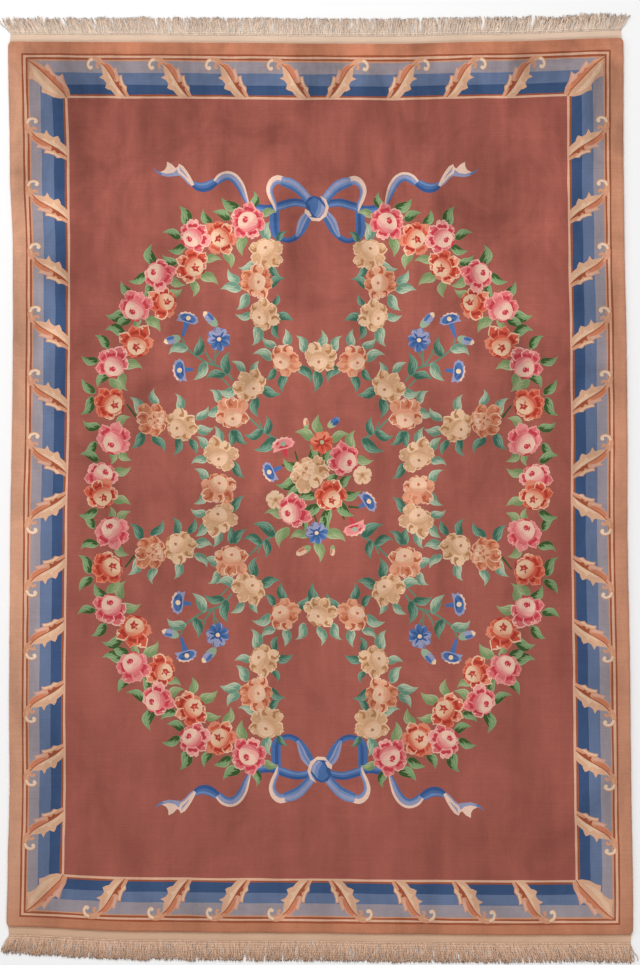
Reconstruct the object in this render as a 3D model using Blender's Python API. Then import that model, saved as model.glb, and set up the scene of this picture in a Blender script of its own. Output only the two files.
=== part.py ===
"""A hand-knotted wool carpet in the Aubusson manner, laid flat: the pile carpet itself,
a flat-woven cotton band at each end, and a fringe of warp ends knotted off beyond each band.

Metres, +Z up. The origin is on the floor under the middle of the carpet. +Y is the head end.
"""

import math
import random

import bmesh
import bpy

# Driving dimensions
PILE_WIDTH = 1.830
PILE_LENGTH = 2.646
CORNER_RADIUS = 0.012
PART_GAP = 0.0003

# The edge of the carpet in section: how far in from the outline, and how high.
# Up to the second row it is the woven base, and from there the pile that hangs over it.
BASE_INSET = 0.0030
EDGE_SECTION = (
    # inset, height
    (BASE_INSET, 0.0000),
    (BASE_INSET, 0.0042),
    (0.0000, 0.0068),
    (0.0008, 0.0102),
    (0.0045, 0.0128),
    (0.0110, 0.0140),
)

# How far each long side lies outside the straight outline, at places along the length
SIDE_SWAY = (
    # along, left, right
    (-1.32, 0.003, 0.006),
    (-1.19, 0.001, 0.007),
    (-0.92, -0.003, 0.004),
    (-0.65, 0.000, 0.003),
    (-0.12, 0.000, -0.002),
    (0.15, -0.003, 0.000),
    (0.42, -0.004, -0.001),
    (0.68, -0.002, -0.005),
    (0.95, 0.009, -0.006),
    (1.32, 0.017, -0.004),
)

# How far each short end lies outside the straight outline, at places across the width
END_SWAY = (
    # across, head, foot
    (-0.915, 0.002, -0.019),
    (-0.53, 0.000, -0.004),
    (-0.20, -0.002, -0.001),
    (0.00, -0.004, 0.000),
    (0.21, -0.005, 0.003),
    (0.54, 0.002, 0.006),
    (0.915, 0.013, 0.005),
)

STATIONS_ACROSS = 18
STATIONS_ALONG = 26
STATIONS_PER_CORNER = 3
FIRST_STATION = 0.040

# The flat-woven band at each end
BAND_DEPTH = 0.026
BAND_INSET = 0.007
BAND_TAPER = 0.005
BAND_SECTION = (
    # share of the depth, height
    (0.00, 0.0000),
    (0.00, 0.0036),
    (0.14, 0.0038),
    (0.42, 0.0048),
    (0.75, 0.0043),
    (1.00, 0.0030),
    (1.00, 0.0000),
)

# The fringe: a narrow knotted strip with the warp ends gathered in locks
LOCKS = 100
KNOT_STRIP_DEPTH = 0.005
LOCK_WIDTH = 0.0070
LOCK_HEIGHT = 0.0034
LOCK_SHAPE = (
    # share of the length, share of the width, share of the height, share of the lean
    (0.40, 1.05, 1.00, 0.75),
    (0.78, 0.90, 0.85, 1.15),
    (1.00, 0.45, 0.55, 1.30),
)
LENGTH_SPREAD = 0.0035
LEAN_SPREAD_DEG = 2.0
FRINGES = {
    # name: end, length, seed
    "fringe_head": (1, 0.050, 11),
    "fringe_foot": (-1, 0.056, 23),
}

# Which way the warp ends lie, in degrees towards +X, at places across the width
FRINGE_LEAN = (
    # across, head, foot
    (-0.91, -34.0, -30.0),
    (-0.84, -26.0, -16.0),
    (-0.66, -20.0, -5.0),
    (-0.40, -6.0, 4.0),
    (0.00, 3.0, -3.0),
    (0.30, 2.0, 5.0),
    (0.55, 16.0, 14.0),
    (0.72, 24.0, 28.0),
    (0.84, 14.0, 12.0),
    (0.91, 30.0, 10.0),
)


def read_along(rows, at, column):
    """Reads a column of a table of stations at any place, easing from row to row."""
    if at <= rows[0][0]:
        return rows[0][column]
    for low, high in zip(rows, rows[1:]):
        if at <= high[0]:
            share = (at - low[0]) / (high[0] - low[0])
            share = share * share * (3 - 2 * share)
            return low[column] + (high[column] - low[column]) * share
    return rows[-1][column]


def as_it_lies(x, y):
    """Moves a point of the straight carpet to where it lies, with the sway of the four edges."""
    across = 0.5 + x / PILE_WIDTH
    along = 0.5 + y / PILE_LENGTH
    left, right = read_along(SIDE_SWAY, y, 1), read_along(SIDE_SWAY, y, 2)
    head, foot = read_along(END_SWAY, x, 1), read_along(END_SWAY, x, 2)
    return x - left * (1 - across) + right * across, y + head * along - foot * (1 - along)


def clear_the_file():
    for thing in list(bpy.data.objects):
        bpy.data.objects.remove(thing, do_unlink=True)


def finish_of(name, colour, roughness):
    finish = bpy.data.materials.new(name)
    finish.use_nodes = True
    shader = finish.node_tree.nodes["Principled BSDF"]
    shader.inputs["Base Color"].default_value = (*colour, 1)
    shader.inputs["Roughness"].default_value = roughness
    shader.inputs["Metallic"].default_value = 0.0
    return finish


def put_in_scene(name, shape, finish):
    bmesh.ops.recalc_face_normals(shape, faces=shape.faces)
    mesh = bpy.data.meshes.new(name)
    shape.to_mesh(mesh)
    shape.free()
    mesh.materials.append(finish)
    piece = bpy.data.objects.new(name, mesh)
    bpy.context.scene.collection.objects.link(piece)
    return piece


def stations(count, half_span):
    """Even places on both sides of the middle, the first and last a little way in from the corners."""
    reach = half_span - FIRST_STATION
    return [reach * (2 * n / count - 1) for n in range(count + 1)]


def corner_arc(centre_x, centre_y, start_deg):
    """Points round one corner of the outline, over a quarter turn."""
    for step in range(STATIONS_PER_CORNER + 1):
        turn = math.radians(start_deg + 90 * step / STATIONS_PER_CORNER)
        yield centre_x + CORNER_RADIUS * math.cos(turn), centre_y + CORNER_RADIUS * math.sin(turn)


def outline(inset):
    """The carpet's outline as it lies, counter-clockwise, drawn in by an inset."""
    reach_x = PILE_WIDTH / 2 - inset - CORNER_RADIUS
    reach_y = PILE_LENGTH / 2 - inset - CORNER_RADIUS
    edge_x, edge_y = reach_x + CORNER_RADIUS, reach_y + CORNER_RADIUS
    across = stations(STATIONS_ACROSS, PILE_WIDTH / 2)
    along = stations(STATIONS_ALONG, PILE_LENGTH / 2)
    straight = []
    straight += corner_arc(reach_x, -reach_y, -90)
    straight += [(edge_x, y) for y in along]
    straight += corner_arc(reach_x, reach_y, 0)
    straight += [(x, edge_y) for x in reversed(across)]
    straight += corner_arc(-reach_x, reach_y, 90)
    straight += [(-edge_x, y) for y in reversed(along)]
    straight += corner_arc(-reach_x, -reach_y, 180)
    straight += [(x, -edge_y) for x in across]
    return [as_it_lies(x, y) for x, y in straight]


def pile_carpet():
    """The knotted carpet in one piece: its base flat on the floor, its pile rounded at the rim."""
    shape = bmesh.new()
    rings = [
        [shape.verts.new((x, y, height)) for x, y in outline(inset)] for inset, height in EDGE_SECTION
    ]
    for low, high in zip(rings, rings[1:]):
        for n in range(len(low)):
            after = (n + 1) % len(low)
            shape.faces.new((low[n], low[after], high[after], high[n]))
    shape.faces.new(reversed(rings[0]))
    shape.faces.new(rings[-1])
    return put_in_scene("pile_carpet", shape, finish_of("wool pile", (0.30, 0.10, 0.08), 0.95))


def base_points(end):
    """The edge of the woven base along one end, head (1) or foot (-1), point by point."""
    corner = PILE_WIDTH / 2 - BASE_INSET - CORNER_RADIUS
    across = [-corner, *stations(STATIONS_ACROSS, PILE_WIDTH / 2), corner]
    return [as_it_lies(x, end * (PILE_LENGTH / 2 - BASE_INSET)) for x in across]


def base_line(end, x):
    """The edge of the woven base along one end, at any place across the width."""
    points = base_points(end)
    for low, high in zip(points, points[1:]):
        if x <= high[0] or high is points[-1]:
            return low[1] + (high[1] - low[1]) * (x - low[0]) / (high[0] - low[0])


def reach_of_side(end, side):
    """Where the pile stops at one side of an end, left (-1) or right (1)."""
    return as_it_lies(side * PILE_WIDTH / 2, end * PILE_LENGTH / 2)[0]


def end_band(name, end):
    """The flat-woven band: a shallow crowned strip along the end of the pile."""
    left = reach_of_side(end, -1) + BAND_INSET
    right = reach_of_side(end, 1) - BAND_INSET
    shape = bmesh.new()
    sections = []
    for x in [left, *(point[0] for point in base_points(end)), right]:
        side = (2 * x - left - right) / (right - left)
        start = base_line(end, x) + end * PART_GAP
        sections.append(
            [
                shape.verts.new((x - side * BAND_TAPER * share, start + end * BAND_DEPTH * share, height))
                for share, height in BAND_SECTION
            ]
        )
    for low, high in zip(sections, sections[1:]):
        for n in range(len(low)):
            after = (n + 1) % len(low)
            shape.faces.new((low[n], low[after], high[after], high[n]))
    shape.faces.new(sections[0])
    shape.faces.new(reversed(sections[-1]))
    return put_in_scene(name, shape, finish_of(name + " cotton", (0.70, 0.55, 0.43), 0.9))


def lock_of_fringe(shape, root, foot_line, end, length, lean_deg):
    """Grows one lock of warp ends from its root, four points of the knotted strip."""
    section = root
    middle_x = sum(point.co.x for point in root) / len(root)
    half_width = (root[1].co.x - root[0].co.x) / 2
    for share, wide, high, lean in LOCK_SHAPE:
        turn = math.radians(lean_deg * lean)
        x = middle_x + length * share * math.sin(turn)
        y = foot_line + end * length * share * math.cos(turn)
        spread = half_width * wide
        # The lock's section stays square to the way it lies
        step_x, step_y = spread * math.cos(turn), -end * spread * math.sin(turn)
        top = LOCK_HEIGHT * high
        following = [
            shape.verts.new((x - step_x, y - step_y, 0)),
            shape.verts.new((x + step_x, y + step_y, 0)),
            shape.verts.new((x + step_x, y + step_y, top)),
            shape.verts.new((x - step_x, y - step_y, top)),
        ]
        for n in range(4):
            after = (n + 1) % 4
            shape.faces.new((section[n], section[after], following[after], following[n]))
        section = following
    shape.faces.new(section)


def fringe(name, end, length, seed):
    """The knotted strip and its locks, in one piece, flat on the floor."""
    chance = random.Random(seed)
    lean_column = 1 if end > 0 else 2
    inset = BAND_INSET + BAND_TAPER
    left = reach_of_side(end, -1) + inset
    right = reach_of_side(end, 1) - inset
    pitch = (right - left - LOCK_WIDTH) / (LOCKS - 1)
    places = []
    for n in range(LOCKS):
        middle = left + LOCK_WIDTH / 2 + n * pitch
        places += [middle - LOCK_WIDTH / 2, middle + LOCK_WIDTH / 2]
    shape = bmesh.new()
    strip = []
    for x in places:
        back = base_line(end, x) + end * (BAND_DEPTH + 2 * PART_GAP)
        front = back + end * KNOT_STRIP_DEPTH
        strip.append(
            (
                shape.verts.new((x, back, 0)),
                shape.verts.new((x, back, LOCK_HEIGHT)),
                shape.verts.new((x, front, LOCK_HEIGHT)),
                shape.verts.new((x, front, 0)),
            )
        )
    for n, (low, high) in enumerate(zip(strip, strip[1:])):
        shape.faces.new((low[0], high[0], high[1], low[1]))
        shape.faces.new((low[1], high[1], high[2], low[2]))
        shape.faces.new((low[3], low[0], high[0], high[3]))
        if n % 2:
            shape.faces.new((low[2], high[2], high[3], low[3]))
            continue
        middle = (low[0].co.x + high[0].co.x) / 2
        lean = read_along(FRINGE_LEAN, middle, lean_column) + chance.uniform(-1, 1) * LEAN_SPREAD_DEG
        own_length = length + chance.uniform(-1, 1) * LENGTH_SPREAD
        foot_line = (low[3].co.y + high[3].co.y) / 2
        lock_of_fringe(shape, (low[3], high[3], high[2], low[2]), foot_line, end, own_length, lean)
    shape.faces.new(strip[0])
    shape.faces.new(reversed(strip[-1]))
    return put_in_scene(name, shape, finish_of(name + " cotton", (0.68, 0.52, 0.42), 0.9))


def main():
    clear_the_file()
    pile_carpet()
    end_band("end_band_head", 1)
    end_band("end_band_foot", -1)
    for name, (end, length, seed) in FRINGES.items():
        fringe(name, end, length, seed)


main()
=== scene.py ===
# %% [markdown]
# An Aubusson rug, knotted in wool and laid flat
#
# The real rug is one cloth. Cotton warps run its whole length, a thin weft packs them into a
# base, and wool is knotted on them and cut to one height. The colours of the knots make the
# pattern, so the pattern is flat. Past the pile the same warps carry a narrow flat-woven band,
# are knotted off, and hang free as the fringe. The frame below holds the rug's solids, and
# everything here is laid over them.

# %% The frame
import math
import random

import bpy
import numpy as np
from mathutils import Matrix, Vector, noise
from mathutils.bvhtree import BVHTree
from mathutils.geometry import delaunay_2d_cdt


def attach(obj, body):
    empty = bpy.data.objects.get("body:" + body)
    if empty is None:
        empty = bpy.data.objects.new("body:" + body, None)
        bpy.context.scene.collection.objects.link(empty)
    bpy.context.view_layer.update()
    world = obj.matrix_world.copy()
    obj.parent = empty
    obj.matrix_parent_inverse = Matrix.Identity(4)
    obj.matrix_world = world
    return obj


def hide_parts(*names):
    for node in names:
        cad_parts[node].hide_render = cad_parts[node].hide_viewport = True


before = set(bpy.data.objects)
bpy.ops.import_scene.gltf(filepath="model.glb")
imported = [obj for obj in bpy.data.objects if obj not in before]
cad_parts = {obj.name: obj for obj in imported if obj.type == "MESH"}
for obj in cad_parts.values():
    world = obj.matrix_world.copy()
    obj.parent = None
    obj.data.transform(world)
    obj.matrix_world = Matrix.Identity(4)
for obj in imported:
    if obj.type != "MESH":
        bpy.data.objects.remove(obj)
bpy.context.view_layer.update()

# %% [markdown]
# The camera stands almost straight above the rug, tipped by a few degrees, so the near end
# looks a little wider than the far one. A long lens from far away keeps the sides parallel.

# %% The camera
CAMERA_DISTANCE = 8.0
CAMERA_TILT_DEG = 3.514
CAMERA_LENS_MM = 100.54
LONG_SIDE_MM = 36.0
AIM = (0.0022, 0.0025)

tilt = math.radians(CAMERA_TILT_DEG)
camera_data = bpy.data.cameras.new("camera")
camera_data.lens = CAMERA_LENS_MM
camera_data.sensor_width = LONG_SIDE_MM
camera = bpy.data.objects.new("camera", camera_data)
camera.location = (
    AIM[0],
    AIM[1] - CAMERA_DISTANCE * math.sin(tilt),
    CAMERA_DISTANCE * math.cos(tilt),
)
camera.rotation_euler = (tilt, 0, 0)
bpy.context.scene.collection.objects.link(camera)
bpy.context.scene.camera = camera
print("camera height", round(camera.location.z, 2), "m")

# %% [markdown]
# Soft light from large panels shows wool as it is. The head end faces a window in the real
# room, so the panel over that end is the stronger one and the colours fall off a little
# towards the foot. The floor is plain and pale.

# %% Floor and light
FLOOR_SIDE = 30.0
FLOOR_DROP = 0.0004
FLOOR_COLOUR = (0.98, 0.98, 0.98, 1)
WORLD_STRENGTH = 0.34
PANELS = (
    # name, place, size, watts
    ("panel over the head end", (-0.6, 3.2, 4.6), 3.2, 146),
    ("panel over the foot end", (0.8, -3.4, 4.8), 3.2, 93),
    ("panel on the left", (-4.2, 0.4, 3.2), 2.4, 37),
)


def paint_plain(name, colour, roughness):
    finish = bpy.data.materials.new(name)
    finish.use_nodes = True
    shader = finish.node_tree.nodes["Principled BSDF"]
    shader.inputs["Base Color"].default_value = colour
    shader.inputs["Roughness"].default_value = roughness
    return finish


floor_mesh = bpy.data.meshes.new("floor")
half_floor = FLOOR_SIDE / 2
floor_mesh.from_pydata(
    [(sx * half_floor, sy * half_floor, -FLOOR_DROP) for sx, sy in ((-1, -1), (1, -1), (1, 1), (-1, 1))],
    [],
    [(0, 1, 2, 3)],
)
floor_mesh.materials.append(paint_plain("floor paint", FLOOR_COLOUR, 0.8))
floor = bpy.data.objects.new("floor", floor_mesh)
bpy.context.scene.collection.objects.link(floor)

for name, place, side, watts in PANELS:
    lamp = bpy.data.lights.new(name, "AREA")
    lamp.shape = "SQUARE"
    lamp.size = side
    lamp.energy = watts
    lamp_object = bpy.data.objects.new(name, lamp)
    lamp_object.location = place
    lamp_object.rotation_euler = (-Vector(place)).to_track_quat("-Z", "Y").to_euler()
    bpy.context.scene.collection.objects.link(lamp_object)

world = bpy.data.worlds.new("studio")
world.use_nodes = True
world.node_tree.nodes["Background"].inputs["Color"].default_value = (1, 1, 1, 1)
world.node_tree.nodes["Background"].inputs["Strength"].default_value = WORLD_STRENGTH
bpy.context.scene.world = world
bpy.context.scene.view_settings.view_transform = "Standard"
print("panels", len(PANELS))

# %% [markdown]
# No hand-made rug is a true rectangle. Its sides wander by some millimetres where the weaver
# pulled a weft tighter, and one corner is pulled out by the fringe. Two short tables hold how
# far each edge lies outside the straight one, and one function moves any point of the
# straight rug to where it lies. The pattern is drawn straight and moved with the same function.

# %% How the rug lies
PILE_WIDTH = 1.830
PILE_LENGTH = 2.646
CORNER_RADIUS = 0.012
BASE_INSET = 0.0030

SIDE_SWAY = (
    # along, left, right
    (-1.32, 0.003, 0.006),
    (-1.19, 0.001, 0.007),
    (-0.92, -0.003, 0.004),
    (-0.65, 0.000, 0.003),
    (-0.12, 0.000, -0.002),
    (0.15, -0.003, 0.000),
    (0.42, -0.004, -0.001),
    (0.68, -0.002, -0.005),
    (0.95, 0.009, -0.006),
    (1.32, 0.017, -0.004),
)
END_SWAY = (
    # across, head, foot
    (-0.915, 0.002, -0.019),
    (-0.53, 0.000, -0.004),
    (-0.20, -0.002, -0.001),
    (0.00, -0.004, 0.000),
    (0.21, -0.005, 0.003),
    (0.54, 0.002, 0.006),
    (0.915, 0.013, 0.005),
)


def read_along(rows, at, column):
    """Reads a column of a table of stations at any place, easing from row to row."""
    if at <= rows[0][0]:
        return rows[0][column]
    for low, high in zip(rows, rows[1:]):
        if at <= high[0]:
            share = (at - low[0]) / (high[0] - low[0])
            share = share * share * (3 - 2 * share)
            return low[column] + (high[column] - low[column]) * share
    return rows[-1][column]


def as_it_lies(x, y):
    """Moves a point of the straight rug to where it lies."""
    across = 0.5 + x / PILE_WIDTH
    along = 0.5 + y / PILE_LENGTH
    left, right = read_along(SIDE_SWAY, y, 1), read_along(SIDE_SWAY, y, 2)
    head, foot = read_along(END_SWAY, x, 1), read_along(END_SWAY, x, 2)
    return x - left * (1 - across) + right * across, y + head * along - foot * (1 - along)


LEFT_LINES = (
    # along, how far the lines of the left side lie inwards of the edge's sway
    (-1.17, -0.0030),
    (-0.70, -0.0025),
    (-0.20, 0.0000),
    (0.30, 0.0020),
    (0.72, 0.0035),
    (0.95, 0.0090),
    (1.16, 0.0060),
)
LEFT_LINES_REACH = (-0.915, -0.77, -0.72, -0.56)


def pattern_lies(x, y):
    """Moves a point of the pattern. The lines of the left side have a small sway of their own."""
    start, full, still, end = LEFT_LINES_REACH
    share = min((x - start) / (full - start), 1.0, (end - x) / (end - still))
    own = read_along(LEFT_LINES, y, 1) * share if share > 0 else 0.0
    lie = as_it_lies(x, y)
    return lie[0] + own, lie[1]


head_left = as_it_lies(-PILE_WIDTH / 2, PILE_LENGTH / 2)
print("left corner of the head", [round(v, 4) for v in head_left])

# %% [markdown]
# A weaver works from a cartoon, a drawing ruled in squares, and fills one shape of yarn after
# another. The pattern here is kept the same way: a list of filled outlines, each with the
# name of its yarn, in the order in which they are laid, so that a later one covers an
# earlier one. The flowers and leaves are drawn in squares of the cartoon, counted from the
# middle of the rug, and a square is just under three millimetres.

# %% The cartoon
SQUARE = 0.00298
MIDDLE = (-0.0022, -0.0105)

YARNS = {
    # the ground and the frame
    "field": (152, 85, 74),
    # the four tans are one yarn: each side is painted a shade lighter or darker, as painted sheen and shade
    # of the pile's nap
    "tan left": (202, 150, 122),
    "tan right": (194, 137, 109),
    "tan head": (190, 123, 94),
    "tan foot": (182, 119, 90),
    "tan line": (196, 140, 110),
    "rust line": (152, 82, 56),
    "ivory line": (211, 166, 140),
    "lavender": (148, 138, 144),
    "sky blue": (97, 111, 140),
    "deep blue": (59, 80, 115),
    # the leaves of the frame
    "leaf ochre": (204, 146, 115),
    "leaf sand": (208, 162, 132),
    "leaf rib": (154, 80, 56),
    "leaf shade": (194, 120, 90),
    "leaf edge": (217, 180, 150),
    "leaf curl": (226, 196, 168),
    "leaf blush": (205, 160, 142),
    # roses
    "pink rim": (218, 144, 136),
    "pink": (200, 100, 102),
    "crimson": (182, 58, 68),
    "pink cup": (218, 180, 158),
    "pink glow": (214, 150, 140),
    "pink blush": (208, 124, 124),
    "pink edge": (222, 172, 158),
    "coral rim": (208, 124, 98),
    "coral": (190, 82, 62),
    "brick": (162, 54, 43),
    "coral cup": (214, 176, 146),
    "coral glow": (208, 148, 118),
    "coral blush": (200, 122, 98),
    "coral edge": (216, 178, 148),
    "coral heart": (170, 58, 48),
    "cream rim": (212, 174, 140),
    "cream": (194, 152, 116),
    "cream shade": (164, 114, 78),
    "cream cup": (212, 174, 144),
    "cream glow": (202, 160, 126),
    "cream blush": (190, 146, 112),
    "cream edge": (214, 180, 150),
    "cream heart": (164, 112, 80),
    "peach rim": (206, 148, 116),
    "peach": (184, 114, 84),
    "peach shade": (164, 84, 60),
    "peach cup": (212, 172, 144),
    "peach glow": (198, 148, 118),
    "peach blush": (198, 136, 108),
    "peach edge": (214, 174, 148),
    "peach heart": (182, 108, 82),
    # greens
    "moss": (114, 142, 98),
    "moss dark": (60, 80, 45),
    "moss light": (138, 156, 115),
    "spring": (134, 148, 104),
    "spring dark": (114, 134, 90),
    "spring light": (158, 164, 126),
    "mist": (140, 158, 134),
    "mist dark": (98, 130, 110),
    "mist light": (170, 178, 156),
    "teal": (90, 124, 104),
    "teal dark": (58, 94, 78),
    "teal light": (122, 148, 128),
    # blues of the ribbons and small flowers
    "ribbon": (72, 102, 150),
    "ribbon dark": (54, 82, 130),
    "ribbon soft": (104, 126, 166),
    "ribbon lilac": (140, 142, 170),
    "ribbon ivory": (218, 184, 166),
    "ribbon steel": (82, 116, 160),
    "flower eye": (224, 192, 156),
}

cartoon = []


def lay(shapes, put=None):
    """Adds filled outlines to the cartoon, moved by a function from their own squares to metres."""
    for yarn, points in shapes:
        cartoon.append((yarn, [put(x, y) if put else (x, y) for x, y in points]))


def mirrored(side_x, side_y):
    """From squares of the upper left quarter to metres on the straight rug, in any quarter."""
    return lambda x, y: (MIDDLE[0] + side_x * x * SQUARE, MIDDLE[1] + side_y * y * SQUARE)


print("yarns", len(YARNS), "square", SQUARE)

# %% [markdown]
# The frame is a set of bands, one inside another: tan at the edge, an ivory line between two
# rust ones, then lavender and two blues that grow darker towards the field, and a last thin
# line. Each is a rectangle laid on the one before it. The foot end is woven a little tighter,
# so the frame is narrower there. Knotted lines are never dead straight, so each wavers by half
# a knot.

# %% The frame of the field
FIELD_EDGE = (-0.750, 0.750, 1.155, -1.167)
FRAME_BANDS = (
    # yarn, then how far out of the field's edge it reaches: at the sides, the head and the foot
    ("rust line", 0.1270, 0.1320, 0.1270),
    ("ivory line", 0.1215, 0.1262, 0.1210),
    ("rust line", 0.1145, 0.1195, 0.1150),
    ("tan line", 0.1090, 0.1135, 0.1090),
    ("lavender", 0.1050, 0.1095, 0.1050),
    ("sky blue", 0.0747, 0.0740, 0.0695),
    ("deep blue", 0.0406, 0.0380, 0.0390),
    ("rust line", 0.0095, 0.0085, 0.0090),
    ("ivory line", 0.0033, 0.0033, 0.0033),
    ("field", -0.0034, -0.0034, -0.0034),
)
LINE_STEP = 0.052
LINE_WAVER = 0.0009


def band_corners(sides, head_depth, foot_depth):
    left, right, head, foot = FIELD_EDGE
    return left - sides, right + sides, head + head_depth, foot - foot_depth


def ruled(corners, step, waver=0.0, chance=None):
    """Sets points along each edge of an outline, so that it can bend, each off it by a little."""
    points = []
    for start, end in zip(corners, corners[1:] + corners[:1]):
        run = math.dist(start, end)
        steps = max(1, round(run / step))
        along = ((end[0] - start[0]) / run, (end[1] - start[1]) / run)
        for n in range(steps):
            off = chance.uniform(-1, 1) * waver if waver and n else 0
            near = run * n / steps
            points.append(
                (start[0] + along[0] * near - along[1] * off, start[1] + along[1] * near + along[0] * off)
            )
    return points


def rectangle(left, right, head, foot):
    return [(left, foot), (right, foot), (right, head), (left, head)]


TAN_REACH = 0.05


def to_linear(value):
    value /= 255
    return value / 12.92 if value <= 0.04045 else ((value + 0.055) / 1.055) ** 2.4


def dyed(yarn):
    return np.array([to_linear(value) for value in YARNS[yarn]])


def tan_at(x, y):
    """Painted sheen and shade of the tan ground: its pile leans another way on each side, so each side is
    lighter or darker, blended at the corners.
    """
    depths = {
        "tan left": PILE_WIDTH / 2 + x, "tan right": PILE_WIDTH / 2 - x,
        "tan head": PILE_LENGTH / 2 - y, "tan foot": PILE_LENGTH / 2 + y,
    }
    shares = {yarn: math.exp(-depth / TAN_REACH) for yarn, depth in depths.items()}
    return sum(dyed(yarn) * share for yarn, share in shares.items()) / sum(shares.values())


frame_chance = random.Random(5)
for yarn, *depths in FRAME_BANDS:
    lay([(yarn, ruled(rectangle(*band_corners(*depths)), LINE_STEP, LINE_WAVER, frame_chance))])
print("bands", len(FRAME_BANDS), "field", [round(v, 3) for v in band_corners(*FRAME_BANDS[-1][1:])])

# %% [markdown]
# The leaves of the frame are scrolled acanthus leaves. Each starts in a small curled hook on
# the outer line, leans towards the middle of its side, and ends on the field's edge. It has a
# lit half with two sharp teeth and a shaded half with three, parted by a dark rib. It is drawn
# once and set round the frame, turned and mirrored so that every hook looks to its corner.

# %% Leaves of the frame
LEAF_RUN = 42.0
LEAF_TURN = math.radians(-36.6)
UPPER_TEETH = (
    (0.01, 0.6), (0.075, 2.0), (0.18, 4.4), (0.25, 5.8), (0.24, 10.4), (0.35, 7.8), (0.46, 7.9),
    (0.525, 11.8), (0.60, 10.4), (0.66, 8.4), (0.78, 8.2), (0.87, 7.4), (0.97, 2.8), (1.03, -0.5),
)
LOWER_TEETH = (
    (1.05, -3.0), (0.90, -4.4), (0.82, -7.2), (0.73, -6.4), (0.60, -8.2), (0.52, -10.4), (0.49, -7.2),
    (0.39, -8.2), (0.29, -10.2), (0.29, -6.6), (0.22, -7.0), (0.11, -6.2), (0.03, -3.4),
)
RIB = (
    (0.0, 0.0), (0.11, -1.0), (0.22, -1.2), (0.38, -0.6), (0.53, 0.2), (0.70, 1.0), (0.85, 0.8),
    (1.0, 0.0),
)
RIB_HALF_WIDTH = 0.62
LEAF_MARKS = (
    # the lobe near the root, the bodies of two teeth, the dark fold beside the rib, and the light along it
    ("leaf shade", (
        (0.06, -1.2), (0.06, -3.8), (0.13, -5.6), (0.22, -6.0), (0.31, -5.4), (0.40, -4.6),
        (0.54, -1.6), (0.44, -0.6), (0.26, -1.4),
    )),
    ("leaf blush", (
        (0.32, -6.0), (0.305, -9.0), (0.39, -7.6), (0.48, -6.2), (0.60, -3.2), (0.50, -3.4),
        (0.40, -5.2),
    )),
    ("leaf edge", (
        (0.53, -6.8), (0.53, -9.2), (0.61, -7.4), (0.74, -5.4), (0.83, -6.0), (0.90, -3.6),
        (0.72, -3.8), (0.62, -5.0),
    )),
    ("leaf rib", (
        (0.50, -0.1), (0.58, -1.0), (0.61, -4.6), (0.67, -1.8), (0.76, -3.2), (0.80, -1.4),
        (0.96, -0.4), (0.84, 0.6), (0.68, 0.6),
    )),
    ("leaf edge", (
        (0.24, 0.2), (0.36, 2.4), (0.46, 2.6), (0.51, 6.4), (0.58, 4.4), (0.80, 4.4), (0.94, 1.8),
        (0.82, 1.6), (0.62, 1.4), (0.42, 0.4),
    )),
)
CORNER_RUN = 52.4
CORNER_RIB = (
    (0.0, 0.0), (0.12, -1.2), (0.30, -1.6), (0.50, -1.6), (0.72, -1.4), (0.90, -1.2), (1.02, 0.4),
)
CORNER_UPPER = (
    (0.07, 0.6), (0.17, 5.4), (0.28, 12.6), (0.33, 10.2), (0.46, 8.8), (0.56, 9.8), (0.62, 13.8),
    (0.71, 11.2), (0.84, 9.2), (0.95, 5.2),
)
CORNER_LOWER = (
    (1.04, -4.0), (0.94, -7.6), (0.80, -9.8), (0.635, -14.8), (0.64, -10.0), (0.54, -9.2),
    (0.42, -10.4), (0.29, -11.8), (0.32, -6.9), (0.19, -6.4), (0.07, -3.6),
)
CORNER_MARKS = (
    ("leaf edge", (
        (0.14, 1.6), (0.28, 6.4), (0.40, 6.6), (0.60, 8.8), (0.72, 7.6), (0.90, 3.6), (0.70, 4.0),
        (0.44, 3.2), (0.24, 1.2),
    )),
    ("leaf blush", (
        (0.31, -7.2), (0.31, -10.6), (0.42, -9.2), (0.54, -8.0), (0.62, -8.8), (0.645, -12.8),
        (0.72, -10.2), (0.90, -7.0), (0.76, -6.6), (0.58, -6.8), (0.44, -6.4),
    )),
    ("leaf shade", (
        (0.10, -2.2), (0.24, -3.4), (0.36, -4.4), (0.43, -7.4), (0.50, -5.2), (0.60, -7.6),
        (0.66, -5.4), (0.78, -6.4), (0.84, -4.6), (0.95, -2.2), (0.84, -1.4), (0.50, -1.7),
        (0.26, -1.6),
    )),
)
HOOK = (
    # across, along, half width: from the leaf's root round to the ball
    (1.2, -1.0, 2.4), (-2.0, 0.6, 2.6), (-4.2, 4.4, 2.4), (-4.6, 8.8, 1.9), (-2.8, 12.4, 1.6),
    (1.2, 14.0, 1.5), (4.8, 12.8, 1.3), (6.0, 10.6, 0.9),
)
HOOK_TURN = 3
BALL = (4.2, 10.6, 1.9)
SPUR = (
    (-3.4, 2.0), (-0.8, 4.8), (2.2, 5.8), (5.0, 4.8), (5.4, 2.4), (3.6, 1.4), (3.0, 3.0), (0.8, 2.8),
    (0.8, 0.0),
)


def turned(points, turn, run=1.0, start=(0.0, 0.0)):
    """Turns points about their start. The first value of each may be a share of a run."""
    c, s = math.cos(turn), math.sin(turn)
    return [
        (start[0] + u * run * c - v * s, start[1] + u * run * s + v * c) for u, v in points
    ]


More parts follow.
